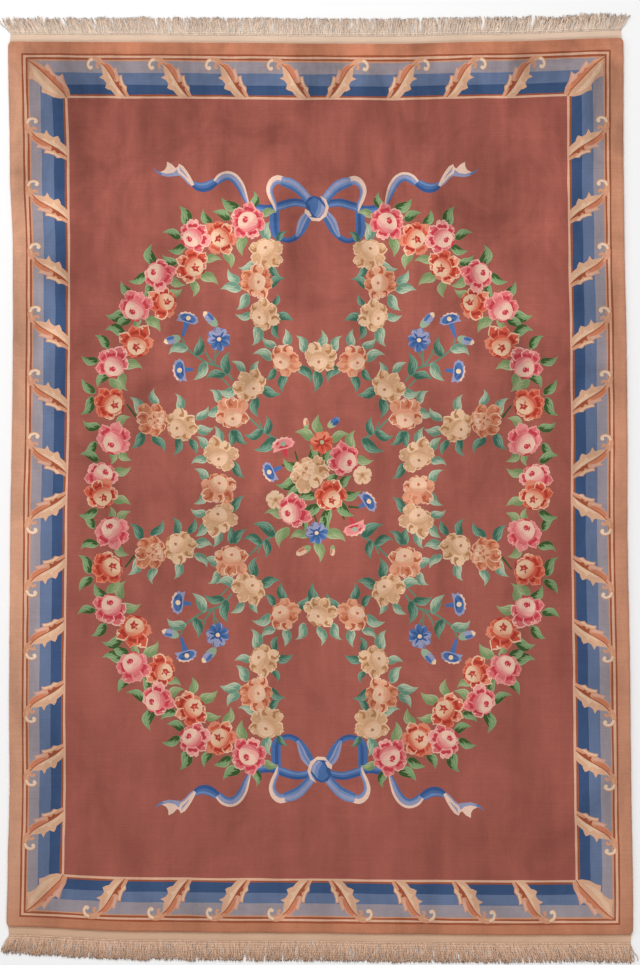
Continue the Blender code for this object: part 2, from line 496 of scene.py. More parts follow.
def stroke(rows, low=-1.0, high=1.0, steps=3):
    """A filled stroke along a smooth path of (x, y, half width), between two shares of its width."""
    rows = [Vector(row) for row in rows]
    ends = [2 * rows[0] - rows[1], *rows, 2 * rows[-1] - rows[-2]]
    path = []
    for a, b, c, d in zip(ends, ends[1:], ends[2:], ends[3:]):
        for n in range(steps):
            t = n / steps
            bend, twist = 2 * a - 5 * b + 4 * c - d, 3 * b - a - 3 * c + d
            path.append(0.5 * (2 * b + (c - a) * t + bend * t * t + twist * t ** 3))
    path.append(rows[-1])
    one_side, other_side = [], []
    for n, point in enumerate(path):
        ahead = path[min(n + 1, len(path) - 1)] - path[max(n - 1, 0)]
        run = math.hypot(ahead.x, ahead.y) or 1.0
        square_on = (-ahead.y / run * point.z, ahead.x / run * point.z)
        one_side.append((point.x + square_on[0] * high, point.y + square_on[1] * high))
        other_side.append((point.x + square_on[0] * low, point.y + square_on[1] * low))
    return one_side + other_side[::-1]


def disc(x, y, radius, count=9):
    angles = [2 * math.pi * n / count for n in range(count)]
    return [(x + radius * math.cos(angle), y + radius * math.sin(angle)) for angle in angles]


def halves(part, rib, upper, lower, marks):
    """The lit half and the shaded half of a leaf, the marks on them, and the rib between them."""
    half = RIB_HALF_WIDTH
    return [
        ("leaf sand", part(rib[::-1] + upper)),
        ("leaf ochre", part(rib + lower)),
        *((yarn, part(rows)) for yarn, rows in marks),
        ("leaf rib", part([(u, v + half * 0.5) for u, v in rib] + [(u, v - half) for u, v in rib[::-1]])),
    ]


def acanthus():
    """One leaf in squares. +X points to the field and +Y to the corner; the root is at the start."""
    def part(rows):
        return turned([(u * LEAF_RUN, v) for u, v in rows], LEAF_TURN)

    return [
        ("leaf ochre", stroke(HOOK)),
        ("leaf curl", stroke(HOOK[HOOK_TURN:], -1.0, 0.5)),
        ("leaf sand", stroke(HOOK[1:HOOK_TURN + 1], -1.0, -0.4)),
        ("leaf ochre", list(SPUR)),
        ("leaf curl", disc(*BALL)),
        *halves(part, RIB, UPPER_TEETH, LOWER_TEETH, LEAF_MARKS),
    ]


def corner_acanthus():
    """The leaf that runs from corner to corner of the frame, in squares along that diagonal."""
    def part(rows):
        return [(u * CORNER_RUN, v) for u, v in rows]

    return halves(part, CORNER_RIB, CORNER_UPPER, CORNER_LOWER, CORNER_MARKS)


def on_side(root, inward, to_corner):
    """From a leaf's squares to metres, with two directions of the straight rug."""
    return lambda x, y: (
        root[0] + (inward[0] * x + to_corner[0] * y) * SQUARE,
        root[1] + (inward[1] * x + to_corner[1] * y) * SQUARE,
    )


LEAF_ROOT_DEPTH = 0.1025
SIDE_LEAVES = {
    # end of the rug and side: first root from the middle, pitch
    (1, -1): (0.097, 0.1900), (1, 1): (0.096, 0.1895), (-1, -1): (0.1170, 0.187), (-1, 1): (0.1125, 0.187),
}
SIDE_LEAF_COUNT = 6
END_LEAVES = {
    # end and side: how far each root is from the middle
    (1, -1): (0.101, 0.285, 0.454, 0.641), (1, 1): (0.113, 0.294, 0.463, 0.638),
    (-1, -1): (0.109, 0.289, 0.460, 0.646), (-1, 1): (0.109, 0.293, 0.469, 0.645),
}
CORNER_LEAF_ROOT = 0.1105

left, right, head, foot = FIELD_EDGE
for end in (1, -1):
    end_line = head if end > 0 else foot
    for side in (-1, 1):
        side_line = left if side < 0 else right
        first, pitch = SIDE_LEAVES[end, side]
        for n in range(SIDE_LEAF_COUNT):
            root = (side_line + side * LEAF_ROOT_DEPTH, end * (first + pitch * n))
            lay(acanthus(), on_side(root, (-side, 0), (0, end)))
        for across in END_LEAVES[end, side]:
            root = (side * across, end_line + end * LEAF_ROOT_DEPTH)
            lay(acanthus(), on_side(root, (0, -end), (side, 0)))
        # The corner leaf runs from corner to corner of the frame
        diagonal = math.sqrt(0.5)
        root = (side_line + side * CORNER_LEAF_ROOT, end_line + end * CORNER_LEAF_ROOT)
        lay(
            corner_acanthus(),
            on_side(root, (-side * diagonal, -end * diagonal), (side * diagonal, -end * diagonal)),
        )
print("shapes so far", len(cartoon))

# %% [markdown]
# Garden leaves are drawn from two points, the foot on the stem and the tip. The width swells
# and then runs out into a tail that bends to one side. Two or three yarns shade it: a dark
# flame from the foot, a light vein and a light edge.

# %% Garden leaves
LEAF_YARNS = {
    "outer": ("moss", "moss dark", "moss light"),
    "inner": ("spring", "spring dark", "spring light"),
    "pale": ("mist", "mist dark", "mist light"),
    "teal": ("teal", "teal dark", "teal light"),
}
LEAF_SWELL = (
    # share of the run, share of the half width
    (0.00, 0.16), (0.08, 0.52), (0.20, 0.86), (0.34, 1.00), (0.50, 0.92), (0.64, 0.66), (0.78, 0.38),
    (0.90, 0.17),
)
LEAF_HALF_WIDTH = {"outer": 0.28, "inner": 0.28, "pale": 0.285, "teal": 0.255}
LEAF_TAIL_BEND = 0.32
LEAF_REACH = 1.15
LEAF_UNDER = 0.10
FLAME = (
    (0.02, 0.30), (0.10, 0.60), (0.22, 0.46), (0.18, 0.20), (0.36, 0.22), (0.30, -0.06), (0.20, -0.24),
    (0.40, -0.22), (0.58, -0.34), (0.50, -0.55), (0.76, -0.62), (0.68, -0.98), (0.50, -0.97),
    (0.35, -0.97), (0.20, -0.97), (0.07, -0.90),
)
VEIN = ((0.30, 0.30), (0.50, 0.42), (0.84, 0.20), (0.52, 0.18))
EDGE_LIGHT = (
    (0.14, 0.74), (0.30, 0.98), (0.50, 0.98), (0.72, 0.92), (0.92, 0.60), (0.68, 0.62), (0.42, 0.72),
)


def leaf_swell(share):
    rows = LEAF_SWELL + ((1.0, 0.0),)
    return read_along(rows, share, 1)


def leaf(kind, foot_x, foot_y, tip_x, tip_y, chance):
    """A leaf from its foot to its tip, in squares."""
    ground, dark, light = LEAF_YARNS[kind]
    run_x, run_y = tip_x - foot_x, tip_y - foot_y
    run = LEAF_REACH * math.hypot(run_x, run_y)
    start = (foot_x - LEAF_UNDER * run_x, foot_y - LEAF_UNDER * run_y)
    turn = math.atan2(run_y, run_x)
    bend = chance.choice((-1, 1)) * LEAF_TAIL_BEND * run * chance.uniform(0.6, 1.2)
    half = LEAF_HALF_WIDTH[kind] * run / LEAF_REACH * chance.uniform(0.96, 1.14)
    side = chance.choice((-1, 1))

    def on_leaf(rows):
        points = []
        for u, v in rows:
            tail = bend * (max(0.0, u - 0.5) * 2) ** 2 - bend * u
            points.append((u * run, v * side * half * leaf_swell(u) + tail))
        return turned(points, turn, start=start)

    outline = [(u, 1.0) for u, w in LEAF_SWELL] + [(1.0, 0.0)] + [(u, -1.0) for u, w in LEAF_SWELL[::-1]]
    return [
        (ground, on_leaf(outline)),
        (dark, on_leaf(FLAME)),
        (light, on_leaf(EDGE_LIGHT)),
        (light, on_leaf(VEIN)),
    ]


# The leaves of the upper left quarter
QUARTER_LEAVES = (
    # kind, then the foot and the tip of each leaf, in squares from the middle of the rug
    ("outer", (
        (-130.5, 262.5, -138, 280.5), (-139, 249.5, -155, 254), (-134.5, 241, -150, 237),
        (-165, 222.5, -166, 242), (-143, 223.5, -155.5, 232), (-173.5, 212.5, -190, 206),
        (-187.5, 190.5, -197.5, 205), (-169, 203, -177, 190), (-195, 173.5, -213.5, 171.5),
        (-189.5, 167, -203, 157), (-195.5, 152, -214, 155), (-211.5, 139, -224.5, 149.5),
        (-222.5, 124.5, -238, 129.5), (-225.5, 93, -237, 106), (-211.5, 111.5, -221.5, 98),
        (-227.5, 87, -238.5, 71), (-220, 58.5, -235.5, 64.5), (-223.5, 42, -237.5, 32.5),
        (-221, 25, -238, 29.5), (-107.5, 263.5, -113.5, 278), (-88.5, 269, -104, 275.5),
        (-79, 279, -94.5, 290), (-66, 280, -63, 296.5),
    )),
    ("inner", (
        (-113.5, 227, -97, 227), (-117.5, 211.5, -101, 202.5), (-125.5, 205.5, -126, 190),
        (-149, 208, -133.5, 202), (-150.5, 193, -137, 198.5), (-180, 168, -179, 155.5),
        (-172, 168, -159.5, 154.5), (-195, 120.5, -177, 117), (-197, 112, -191, 95.5),
        (-208.5, 105.5, -199, 91.5), (-201.5, 60.5, -188, 68), (-199.5, 34.5, -187, 26),
        (-206.5, 34.5, -208, 21), (-203.5, 14, -187.5, 19), (-55, 273, -40.5, 275),
        (-74.5, 250.5, -75.5, 232), (-93, 235, -88, 219),
    )),
    ("pale", (
        (-51.5, 248.5, -47.5, 265.5), (-80, 205.5, -90, 218), (-62.5, 225, -79.5, 220),
        (-79, 198.5, -97.5, 197.5), (-72, 192, -82, 178), (-67.5, 172, -83, 173),
        (-61, 160.5, -67, 142), (-44, 141, -56, 150), (-32.5, 141.5, -34, 158), (-15, 136.5, -23, 151),
        (-47, 128.5, -65.5, 132.5), (-65.5, 112, -60, 125.5), (-75, 116, -87, 125),
        (-82, 97, -101, 97.5), (-99.5, 84.5, -109.5, 96), (-99.5, 78, -114.5, 74.5),
        (-121.5, 68, -111, 80), (-177.5, 72, -189, 88), (-161.5, 81.5, -164, 97.5),
        (-138.5, 75.5, -143.5, 92), (-122, 57.5, -105.5, 59), (-99.5, 43, -104.5, 60),
        (-112.5, 38.5, -122, 49.5), (-112, 26.5, -126.5, 22), (-111, 6, -123.5, 17),
    )),
    ("teal", (
        (-40.5, 247.5, -31, 256), (-47.5, 221, -36, 210.5), (-48, 201, -33, 208),
        (-45.5, 182, -41.5, 194), (-42, 171.5, -26, 166), (-43.5, 162.5, -39, 148.5),
        (-44, 117.5, -54.5, 108), (-34, 112.5, -35.5, 95), (-21, 120, -9.5, 104.5),
        (-56.5, 98.5, -38.5, 93.5), (-63, 88.5, -60.5, 70), (-176, 52.5, -187, 38),
        (-165.5, 48, -155, 33.5), (-140.5, 48, -146, 31.5), (-128, 46, -123, 32),
        (-86.5, 55.5, -89.5, 39.5), (-83, 55.5, -70.5, 43.5), (-84.5, 23.5, -73.5, 9.5),
        (-57, 56, -74.5, 53), (-52, 53.5, -53, 70.5), (-44.5, 47.5, -64.5, 37.5),
        (-122.5, 132, -120.5, 150.5), (-95, 112, -112.5, 107), (-92, 114, -89, 134.5),
    )),
    ("pale", ((-133, 138.5, -149.5, 131.5), (-113.5, 123, -125, 107))),
)
print("leaves in a quarter", sum(len(rows) for kind, rows in QUARTER_LEAVES))

# %% [markdown]
# A rose here is a pale cup with a dark heart, in a ruff of broad petals. Every petal is a
# lobed outline in the light rim yarn with the body yarn inside it and a dark flame at its
# foot. Few roses look straight up: most open to one side, and their ruff fans out behind.

# %% Roses
ROSE_PARTS = ("rim", "", "cup", "glow", "blush", "edge")
ROSE_YARNS = {
    kind: [f"{kind} {part}".strip() for part in ROSE_PARTS] for kind in ("pink", "coral", "cream", "peach")
}
FLAMES = {"pink": "crimson", "coral": "brick", "cream": "cream shade", "peach": "peach shade"}
HEARTS = {"pink": "crimson", "coral": "coral heart", "cream": "cream heart", "peach": "peach heart"}
PETALS = (
    # share of the reach, share of the half width: two scalloped petals and a pointed one
    (
        (0.00, -0.50), (0.36, -0.88), (0.66, -1.00), (0.88, -0.78), (0.89, -0.50), (1.02, -0.24),
        (0.96, 0.06), (1.03, 0.34), (0.91, 0.56), (0.86, 0.84), (0.60, 1.00), (0.30, 0.84),
        (0.00, 0.50),
    ),
    (
        (0.00, -0.50), (0.30, -0.92), (0.56, -1.02), (0.80, -0.86), (0.83, -0.60), (0.98, -0.44),
        (1.02, -0.06), (0.93, 0.12), (1.00, 0.42), (0.90, 0.80), (0.62, 0.98), (0.34, 0.90),
        (0.00, 0.50),
    ),
    (
        (0.00, -0.50), (0.34, -0.82), (0.64, -0.94), (0.84, -0.70), (0.98, -0.40), (1.16, -0.14),
        (1.02, 0.12), (0.96, 0.50), (0.78, 0.90), (0.40, 0.90), (0.00, 0.50),
    ),
)
PETAL_FLAME = (
    # a bar across the petal, close to the cup
    (0.30, -0.68), (0.50, -0.74), (0.62, -0.44), (0.55, -0.06), (0.67, 0.34), (0.52, 0.72),
    (0.30, 0.66), (0.37, 0.30), (0.33, -0.30),
)
PETAL_FOLD = (
    (0.30, -0.62), (0.60, -0.66), (0.90, -0.34), (0.98, 0.08), (0.82, -0.16), (0.60, -0.30),
    (0.46, 0.06), (0.32, 0.10),
)
PETAL_STREAK = ((0.66, 0.30), (0.80, 0.16), (0.86, 0.44), (0.76, 0.66))
PETAL_TONES = (
    # the petal's rim, its body and the bar near its foot
    ("edge", "", "flame"), ("rim", "", "flame"), ("edge", "rim", "flame"), ("rim", "", "flame"),
    ("rim", "blush", ""),
)
INNER_TONES = (
    ("edge", "cup", "glow"), ("edge", "glow", ""), ("rim", "glow", "flame"), ("edge", "cup", "blush"),
)
TURNED_RUFF = (
    # turn from the side of the fan in degrees, reach, half width
    (-144, 0.76, 0.34), (136, 0.78, 0.34), (-98, 1.00, 0.40), (92, 1.02, 0.40), (-46, 1.20, 0.42),
    (44, 1.18, 0.42), (-2, 1.10, 0.40),
)
ROUND_RUFF = (
    (180, 1.00, 0.42), (128, 1.08, 0.40), (-126, 1.04, 0.42), (76, 1.02, 0.40), (-76, 1.10, 0.42),
    (25, 1.06, 0.40), (-26, 1.00, 0.38),
)
CURLED_SHARE = {"pink": 0.0, "coral": 0.0, "cream": 0.2, "peach": 0.5}
CURLED_IN = (
    # the petals inside the cup of a pale rose, in shares of the cup
    (195, 0.98, 0.52), (70, 1.02, 0.54), (-50, 0.98, 0.52), (130, 0.70, 0.44), (5, 0.74, 0.46),
    (-110, 0.66, 0.40),
)
PETAL_FOOT = 0.36
CUP_SHARE = {"pink": 0.60, "coral": 0.57, "cream": 0.55, "peach": 0.55}
CUP_SHADES = (
    # part, radius, depth, how far it may sway, spread in degrees, steps
    ("veil", 0.98, 0.93, 0, 104, 8), ("glow", 1.00, 0.72, 0, 88, 8), ("blush", 1.02, 0.44, 25, 70, 6),
    ("", 1.04, 0.20, 0, 60, 6),
)
CROWN = (1.0, 0.42, 0.86, 0.38, 1.0, 0.50, 0.90, 0.56, 0.74, 0.52)

for kind in CUP_SHARE:
    both = zip(YARNS[f"{kind} cup"], YARNS[f"{kind} glow"])
    YARNS[f"{kind} veil"] = tuple((a + b) / 2 for a, b in both)


def ring(x, y, radius, count, chance, waver):
    points = []
    start = chance.uniform(0, 1)
    for n in range(count):
        angle = 2 * math.pi * (n + start) / count
        own = radius * (1 + chance.uniform(-waver, waver))
        points.append((x + own * math.cos(angle), y + own * math.sin(angle)))
    return points


def crescent(x, y, radius, depth, middle_deg, spread_deg, steps=6):
    """The part of a disc that lies along one side of it, as deep as a share of its radius."""
    outer, inner = [], []
    for n in range(steps + 1):
        angle = math.radians(middle_deg + spread_deg * (2 * n / steps - 1))
        thin = math.cos(math.pi * (n / steps - 0.5))
        outer.append((x + radius * math.cos(angle), y + radius * math.sin(angle)))
        if 0 < n < steps:
            near = radius * (1 - depth * thin)
            inner.append((x + near * math.cos(angle), y + near * math.sin(angle)))
    # The outline starts half way along, since the cut is least sure at a sharp tip
    return outer[steps // 2:] + inner[::-1] + outer[:steps // 2]


def heart_of_rose(kind, x, y, radius, look, chance):
    """The dark middle of a cup: a comma on pink roses, a crown on coral ones, a small fold on pale ones."""
    rim, body, cup, glow, blush, edge = ROSE_YARNS[kind]
    heart = HEARTS[kind]
    turn = math.radians(look)
    if kind == "pink":
        far = (x + radius * 0.30 * math.cos(turn), y + radius * 0.30 * math.sin(turn))
        return [
            (edge, ring(*far, radius * 0.40, 8, chance, 0.06)),
            (heart, ring(*far, radius * 0.27, 8, chance, 0.10)),
            (heart, crescent(*far, radius * 0.40, 0.40, look - 80, 46, 4)),
            (blush, ring(far[0] + radius * 0.08, far[1] + radius * 0.08, radius * 0.09, 5, chance, 0.10)),
        ]
    far = (x + radius * 0.18 * math.cos(turn), y + radius * 0.18 * math.sin(turn))
    if kind == "coral":
        spikes = [
            (radius * 0.60 * own * chance.uniform(0.85, 1.1), turn + math.tau * n / len(CROWN))
            for n, own in enumerate(CROWN)
        ]
        crown = [(far[0] + own * math.cos(angle), far[1] + own * math.sin(angle)) for own, angle in spikes]
        return [
            (heart, crown),
            (edge, crescent(*far, radius * 0.30, 0.35, look + 130, 40, 4)),
            (blush, ring(*far, radius * 0.12, 5, chance, 0.2)),
        ]
    return [
        (heart, ring(*far, radius * 0.20, 6, chance, 0.2)),
        (edge, crescent(*far, radius * 0.30, 0.5, look + chance.uniform(-90, 90), 70, 4)),
    ]


def petal(middle, foot, turn_deg, reach, half, tones, chance, mark=PETAL_FLAME):
    """A petal in three yarns: its rim, its body inside that, and a bar or a fold near its foot."""
    turn = math.radians(turn_deg)
    start = (middle[0] + foot * math.cos(turn), middle[1] + foot * math.sin(turn))
    side = chance.choice((-1, 1))

    def part(rows, deep=1.0, broad=1.0, along=0.0, across=0.0):
        rows = [((u * deep + along) * (reach - foot), (v * broad + across) * side * half) for u, v in rows]
        return turned(rows, turn, start=start)

    outline = [
        (u + chance.uniform(-0.04, 0.04), v + chance.uniform(-0.07, 0.07)) for u, v in chance.choice(PETALS)
    ]
    rim, body, flame = tones
    return [
        (rim, part(outline)),
        (body, part(outline, 0.90, 0.86, 0.01, chance.uniform(-0.03, 0.08))),
        (flame, part(mark, 1.0, chance.uniform(0.8, 1.05), chance.uniform(-0.06, 0.06), 0.04)),
        (rim, part(PETAL_STREAK)),
    ]


def rose(kind, x, y, fan_deg, size, chance, curled=False):
    """A rose round its cup. fan_deg is the side that its ruff fans out to, or None for an even ruff."""
    yarns = dict(zip(ROSE_PARTS, ROSE_YARNS[kind]), flame=FLAMES[kind], veil=f"{kind} veil")
    ruff = ROUND_RUFF if fan_deg is None else TURNED_RUFF
    fan_deg = chance.uniform(0, 360) if fan_deg is None else fan_deg
    lean = 0.06 * size if ruff is TURNED_RUFF else 0.0
    fan = math.radians(fan_deg)
    middle = (x + lean * math.cos(fan), y + lean * math.sin(fan))
    curled = chance.random() < CURLED_SHARE[kind] or curled
    pale = kind in ("cream", "peach")
    mark = PETAL_FOLD if pale else PETAL_FLAME
    shapes = [(yarns["flame"], ring(*middle, size * 0.74, 15, chance, 0.12))]
    for turn_deg, reach, wide in ruff:
        tones = [yarns[part_of] for part_of in chance.choice(PETAL_TONES)]
        own = size * chance.uniform(0.92, 1.06)
        turn_deg = fan_deg + turn_deg + chance.uniform(-9, 9)
        shapes += petal(middle, PETAL_FOOT * size, turn_deg, own * reach, own * wide, tones, chance, mark)
    radius = CUP_SHARE[kind] * size
    look = fan_deg + 180 + chance.uniform(-30, 30)
    if curled:
        shapes.append((yarns["glow"], ring(x, y, radius * 0.9, 13, chance, 0.08)))
        for turn_deg, reach, wide in CURLED_IN:
            tones = [yarns[part_of] for part_of in chance.choice(INNER_TONES)]
            turn_deg = look + turn_deg + chance.uniform(-12, 12)
            shapes += petal(
                (x, y), 0.06 * radius, turn_deg, radius * reach, radius * wide, tones, chance, mark
            )
        return shapes + heart_of_rose(kind, x, y, radius, look, chance)
    glow_side = look + 180 + chance.uniform(-25, 25)
    shapes += [
        (yarns["cup" if pale else "edge"], ring(x, y, radius, 15, chance, 0.05)),
        (yarns["cup"], ring(x, y, radius * 0.95, 12, chance, 0.04)),
    ]
    for part_of, reach, depth, sway, spread_deg, steps in CUP_SHADES[:3 if pale else 4]:
        side = glow_side + chance.uniform(-sway, sway) if sway else glow_side
        shapes.append((yarns[part_of], crescent(x, y, radius * reach, depth, side, spread_deg, steps)))
    return shapes + heart_of_rose(kind, x, y, radius, look, chance)


# The roses of the upper left quarter: yarns, cup, side of the fan, size, and the yarns below the middle
ROSES = (
    ("cream", -52, 238.5, 270, 16.5, "cream"),
    ("peach", -61.5, 205.5, None, 16.0, "peach"),
    ("cream", -58.5, 170.5, 30, 15.5, "cream"),
    ("peach", -37.5, 126, 20, 15.5, "peach"),
    ("cream", -66.5, 99, 130, 16.0, "cream"),
    ("peach", -86, 69.5, 90, 17.0, "peach"),
    ("peach", -162.5, 66, 180, 17.0, "peach"),
    ("cream", -140.5, 58.5, 40, 16.0, "cream"),
    ("cream", -99.5, 29, 60, 16.5, "cream"),
    ("coral", -98.2, 249.8, None, 16.5, "coral"),
    ("pink", -69.8, 266, None, 17.0, "pink"),
    ("coral", -124, 220, 150, 16.5, "coral"),
    ("pink", -126.3, 249, 40, 15.5, "pink"),
    ("coral", -153, 184.5, 200, 15.0, "coral"),
    ("pink", -162.5, 213.5, -30, 15.5, "pink"),
    ("coral", -182.5, 140.5, 110, 17.0, "coral"),
    ("pink", -184.5, 176.5, 70, 16.5, "pink"),
    ("coral", -205.5, 81.5, 170, 16.5, "coral"),
    ("pink", -205.5, 119.5, 100, 16.5, "pink"),
    ("pink", -205.5, 43, 80, 17.0, "pink"),
    ("pink", -215, 11.5, 250, 16.0, "coral"),
)
print("roses in a quarter", len(ROSES))

# %% [markdown]
# The stems are thin strokes. The small blue flowers are of three kinds: a trumpet seen from
# the side on its tube, a star seen from above, and a bud in its green calyx. Each is
# drawn about its own middle and set where the spray needs it.

# %% Stems and small flowers
STEMS = (
    ("teal", ((-69.5, 69, 0.9), (-55.5, 55.5, 1.1), (-43, 47.5, 1.3))),
    ("teal", ((-60, 66, 0.6), (-56, 56, 0.8))),
    ("moss dark", ((-192, 81.5, 0.8), (-182.5, 69, 1.2))),
    ("teal", (
        (-136.5, 148, 1.0), (-133, 139, 0.9), (-124.5, 131.5, 0.9), (-113.5, 124.5, 1.0),
        (-105, 121.5, 1.1), (-94.5, 117.5, 1.1), (-86, 106, 0.9),
    )),
    ("teal", ((-103.5, 138.5, 0.8), (-104, 121.5, 0.9))),
    ("teal", ((-98, 138, 0.6), (-102.5, 130, 0.8))),
    ("teal", ((-113.5, 138, 0.6), (-112.5, 132.5, 0.8), (-106, 123, 1.0))),
    ("teal", ((-97, 108.5, 0.8), (-89.5, 100.5, 0.8))),
    ("teal", ((-115, 133.5, 0.8), (-119, 132.5, 0.7))),
)

TUBE_WIDTHS = (1.4, 2.2, 3.8)
BELL = (
    # away from the tube, across it: in shares of the bell's size
    (-0.30, -0.72), (-0.36, -0.3), (-0.36, 0.2), (-0.46, 0.98), (-0.10, 0.84), (0.06, 1.0),
    (0.26, 0.84), (0.40, 0.80), (0.46, 0.58), (0.60, 0.44), (0.56, 0.20), (0.68, 0.0), (0.56, -0.22),
    (0.60, -0.44), (0.46, -0.58), (0.40, -0.82), (0.20, -0.84), (0.02, -1.0), (-0.16, -0.82),
)
BELL_THROAT = (
    (-0.24, -0.5), (-0.28, 0.0), (-0.24, 0.5), (-0.04, 0.76), (0.22, 0.68), (0.40, 0.40), (0.46, 0.0),
    (0.38, -0.42), (0.18, -0.70), (-0.06, -0.72),
)
BELL_SHADES = (
    ((-0.22, -0.46), (-0.25, 0.0), (-0.20, 0.46), (-0.04, 0.30), (-0.06, -0.26)),
    ((0.16, 0.62), (0.36, 0.36), (0.24, 0.28), (0.08, 0.50)),
)
BELL_FRILL = (
    (0.18, 0.72), (0.26, 0.84), (0.40, 0.80), (0.46, 0.58), (0.60, 0.44), (0.56, 0.20), (0.68, 0.0),
    (0.56, -0.22), (0.60, -0.44), (0.48, -0.42), (0.48, -0.2), (0.53, 0.0), (0.46, 0.22), (0.40, 0.46),
)


def trumpet(x, y, tube_x, tube_y, size, yarns, chance):
    """A bell that looks away from its tube. yarns: tube, rim, throat, shade, frill and eye."""
    tube, rim, throat, shade, frill, eye = yarns
    turn = math.atan2(y - tube_y, x - tube_x)
    away = (math.cos(turn), math.sin(turn))
    square_on = (-away[1], away[0])

    def part(rows):
        return [
            (x + size * (away[0] * u + square_on[0] * v), y + size * (away[1] * u + square_on[1] * v))
            for u, v in rows
        ]

    half_way = (0.55 * tube_x + 0.45 * x, 0.55 * tube_y + 0.45 * y)
    foot, middle, mouth = TUBE_WIDTHS
    return [
        (tube, stroke(((tube_x, tube_y, foot), (*half_way, middle), (x, y, mouth)))),
        (rim, part(BELL)),
        (throat, part(BELL_THROAT)),
        *((shade, part(rows)) for rows in BELL_SHADES),
        (frill, part(BELL_FRILL)),
        (eye, ring(x + size * 0.08 * away[0], y + size * 0.08 * away[1], size * 0.22, 7, chance, 0.1)),
    ]


STAR_PETAL = (
    (0.2, -0.4), (0.6, -0.95), (0.86, -0.9), (1.0, -0.2), (0.96, 0.1), (1.0, 0.4), (0.84, 0.95),
    (0.6, 0.9), (0.2, 0.4),
)
STAR_PETAL_RIM = ((0.55, 0.78), (0.84, 0.82), (1.0, 0.36), (0.97, 0.1), (0.84, 0.46), (0.6, 0.62))
STAR_WEDGE = ((0.15, -0.2), (0.5, -0.34), (0.78, 0.0), (0.5, 0.34), (0.15, 0.2))


def star_flower(x, y, size, petals, yarns, chance):
    """A flower seen from above. yarns: petals in turn, a dark middle, and the eye."""
    light, full, dark, eye = yarns
    shapes = []
    for n in range(petals):
        turn = 2 * math.pi * (n + 0.3) / petals + chance.uniform(-0.08, 0.08)
        yarn = light if math.sin(turn - 0.5) > 0.05 else full
        wide = size * 2.5 / petals
        reach = size * chance.uniform(0.94, 1.05)
        other = full if yarn == light else light
        for own, rows in ((yarn, STAR_PETAL), (other, STAR_PETAL_RIM)):
            shapes.append((own, turned([(u * reach, v * wide) for u, v in rows], turn, start=(x, y))))
    for n in range(petals):
        turn = 2 * math.pi * (n + 0.3) / petals
        if math.sin(turn - 0.5) < 0.9:
            wide = size * 2.2 / petals
            wedge = [(u * size, v * wide) for u, v in STAR_WEDGE]
            shapes.append((dark, turned(wedge, turn, start=(x, y))))
    shapes.append((dark, ring(x, y, size * 0.34, 9, chance, 0.08)))
    shapes.append((eye, ring(x, y, size * 0.19, 7, chance, 0.08)))
    return shapes


BUD_PARTS = (
    # its body, its side, its tip and its calyx
    ((0.3, -0.7), (0.6, -1.0), (0.88, -0.7), (1.0, 0.0), (0.88, 0.7), (0.6, 1.0), (0.3, 0.7)),
    ((0.34, -0.6), (0.6, -0.9), (0.84, -0.6), (0.74, -0.1), (0.4, 0.0)),
    ((0.80, -0.5), (0.92, -0.5), (1.0, 0.0), (0.90, 0.6), (0.76, 0.7), (0.80, 0.1)),
    (
        (0.0, -0.35), (0.16, -0.85), (0.48, -1.05), (0.30, -0.4), (0.42, 0.1), (0.28, 0.4), (0.5, 1.1),
        (0.16, 0.85), (0.0, 0.35),
    ),
)


def bud(foot_x, foot_y, tip_x, tip_y, yarns, chance):
    """A bud with its calyx at its foot. yarns: those of its parts, in order."""
    run = math.hypot(tip_x - foot_x, tip_y - foot_y)
    turn = math.atan2(tip_y - foot_y, tip_x - foot_x)
    wide = run * chance.uniform(0.21, 0.26)
    return [
        (yarn, turned([(u * run, v * wide) for u, v in rows], turn, start=(foot_x, foot_y)))
        for yarn, rows in zip(yarns, BUD_PARTS)
    ]


BLUE_TRUMPET = ("ribbon", "ribbon lilac", "ribbon", "ribbon dark", "ribbon ivory", "flower eye")
BLUE_STAR = ("ribbon lilac", "ribbon", "ribbon dark", "flower eye")
BLUE_BUD = ("ribbon lilac", "ribbon", "flower eye", "mist")


BLUE_SPRAY = (
    (trumpet, -131, 167.5, -136.5, 150, 11.0, BLUE_TRUMPET),
    (trumpet, -138.5, 116, -126, 117, 12.0, BLUE_TRUMPET),
    (bud, -102, 160.5, -115.5, 175, BLUE_BUD), (bud, -138.5, 149, -155.5, 144, BLUE_BUD),
    (star_flower, -100, 147.5, 12.0, 8, BLUE_STAR),
)


def drawn(flowers, chance):
    """The shapes of a table of flowers, each drawn by its own function."""
    return [shape for draw, *facts in flowers for shape in draw(*facts, chance)]


print("stems", len(STEMS))

# %% [markdown]
# The bow is a ribbon seen edge on and flat by turns. Each stretch between two folds is a
# stroke of its own, laid under or over the next one, and strips of other yarns run along it
# for the light on its edge and the shade in its middle.

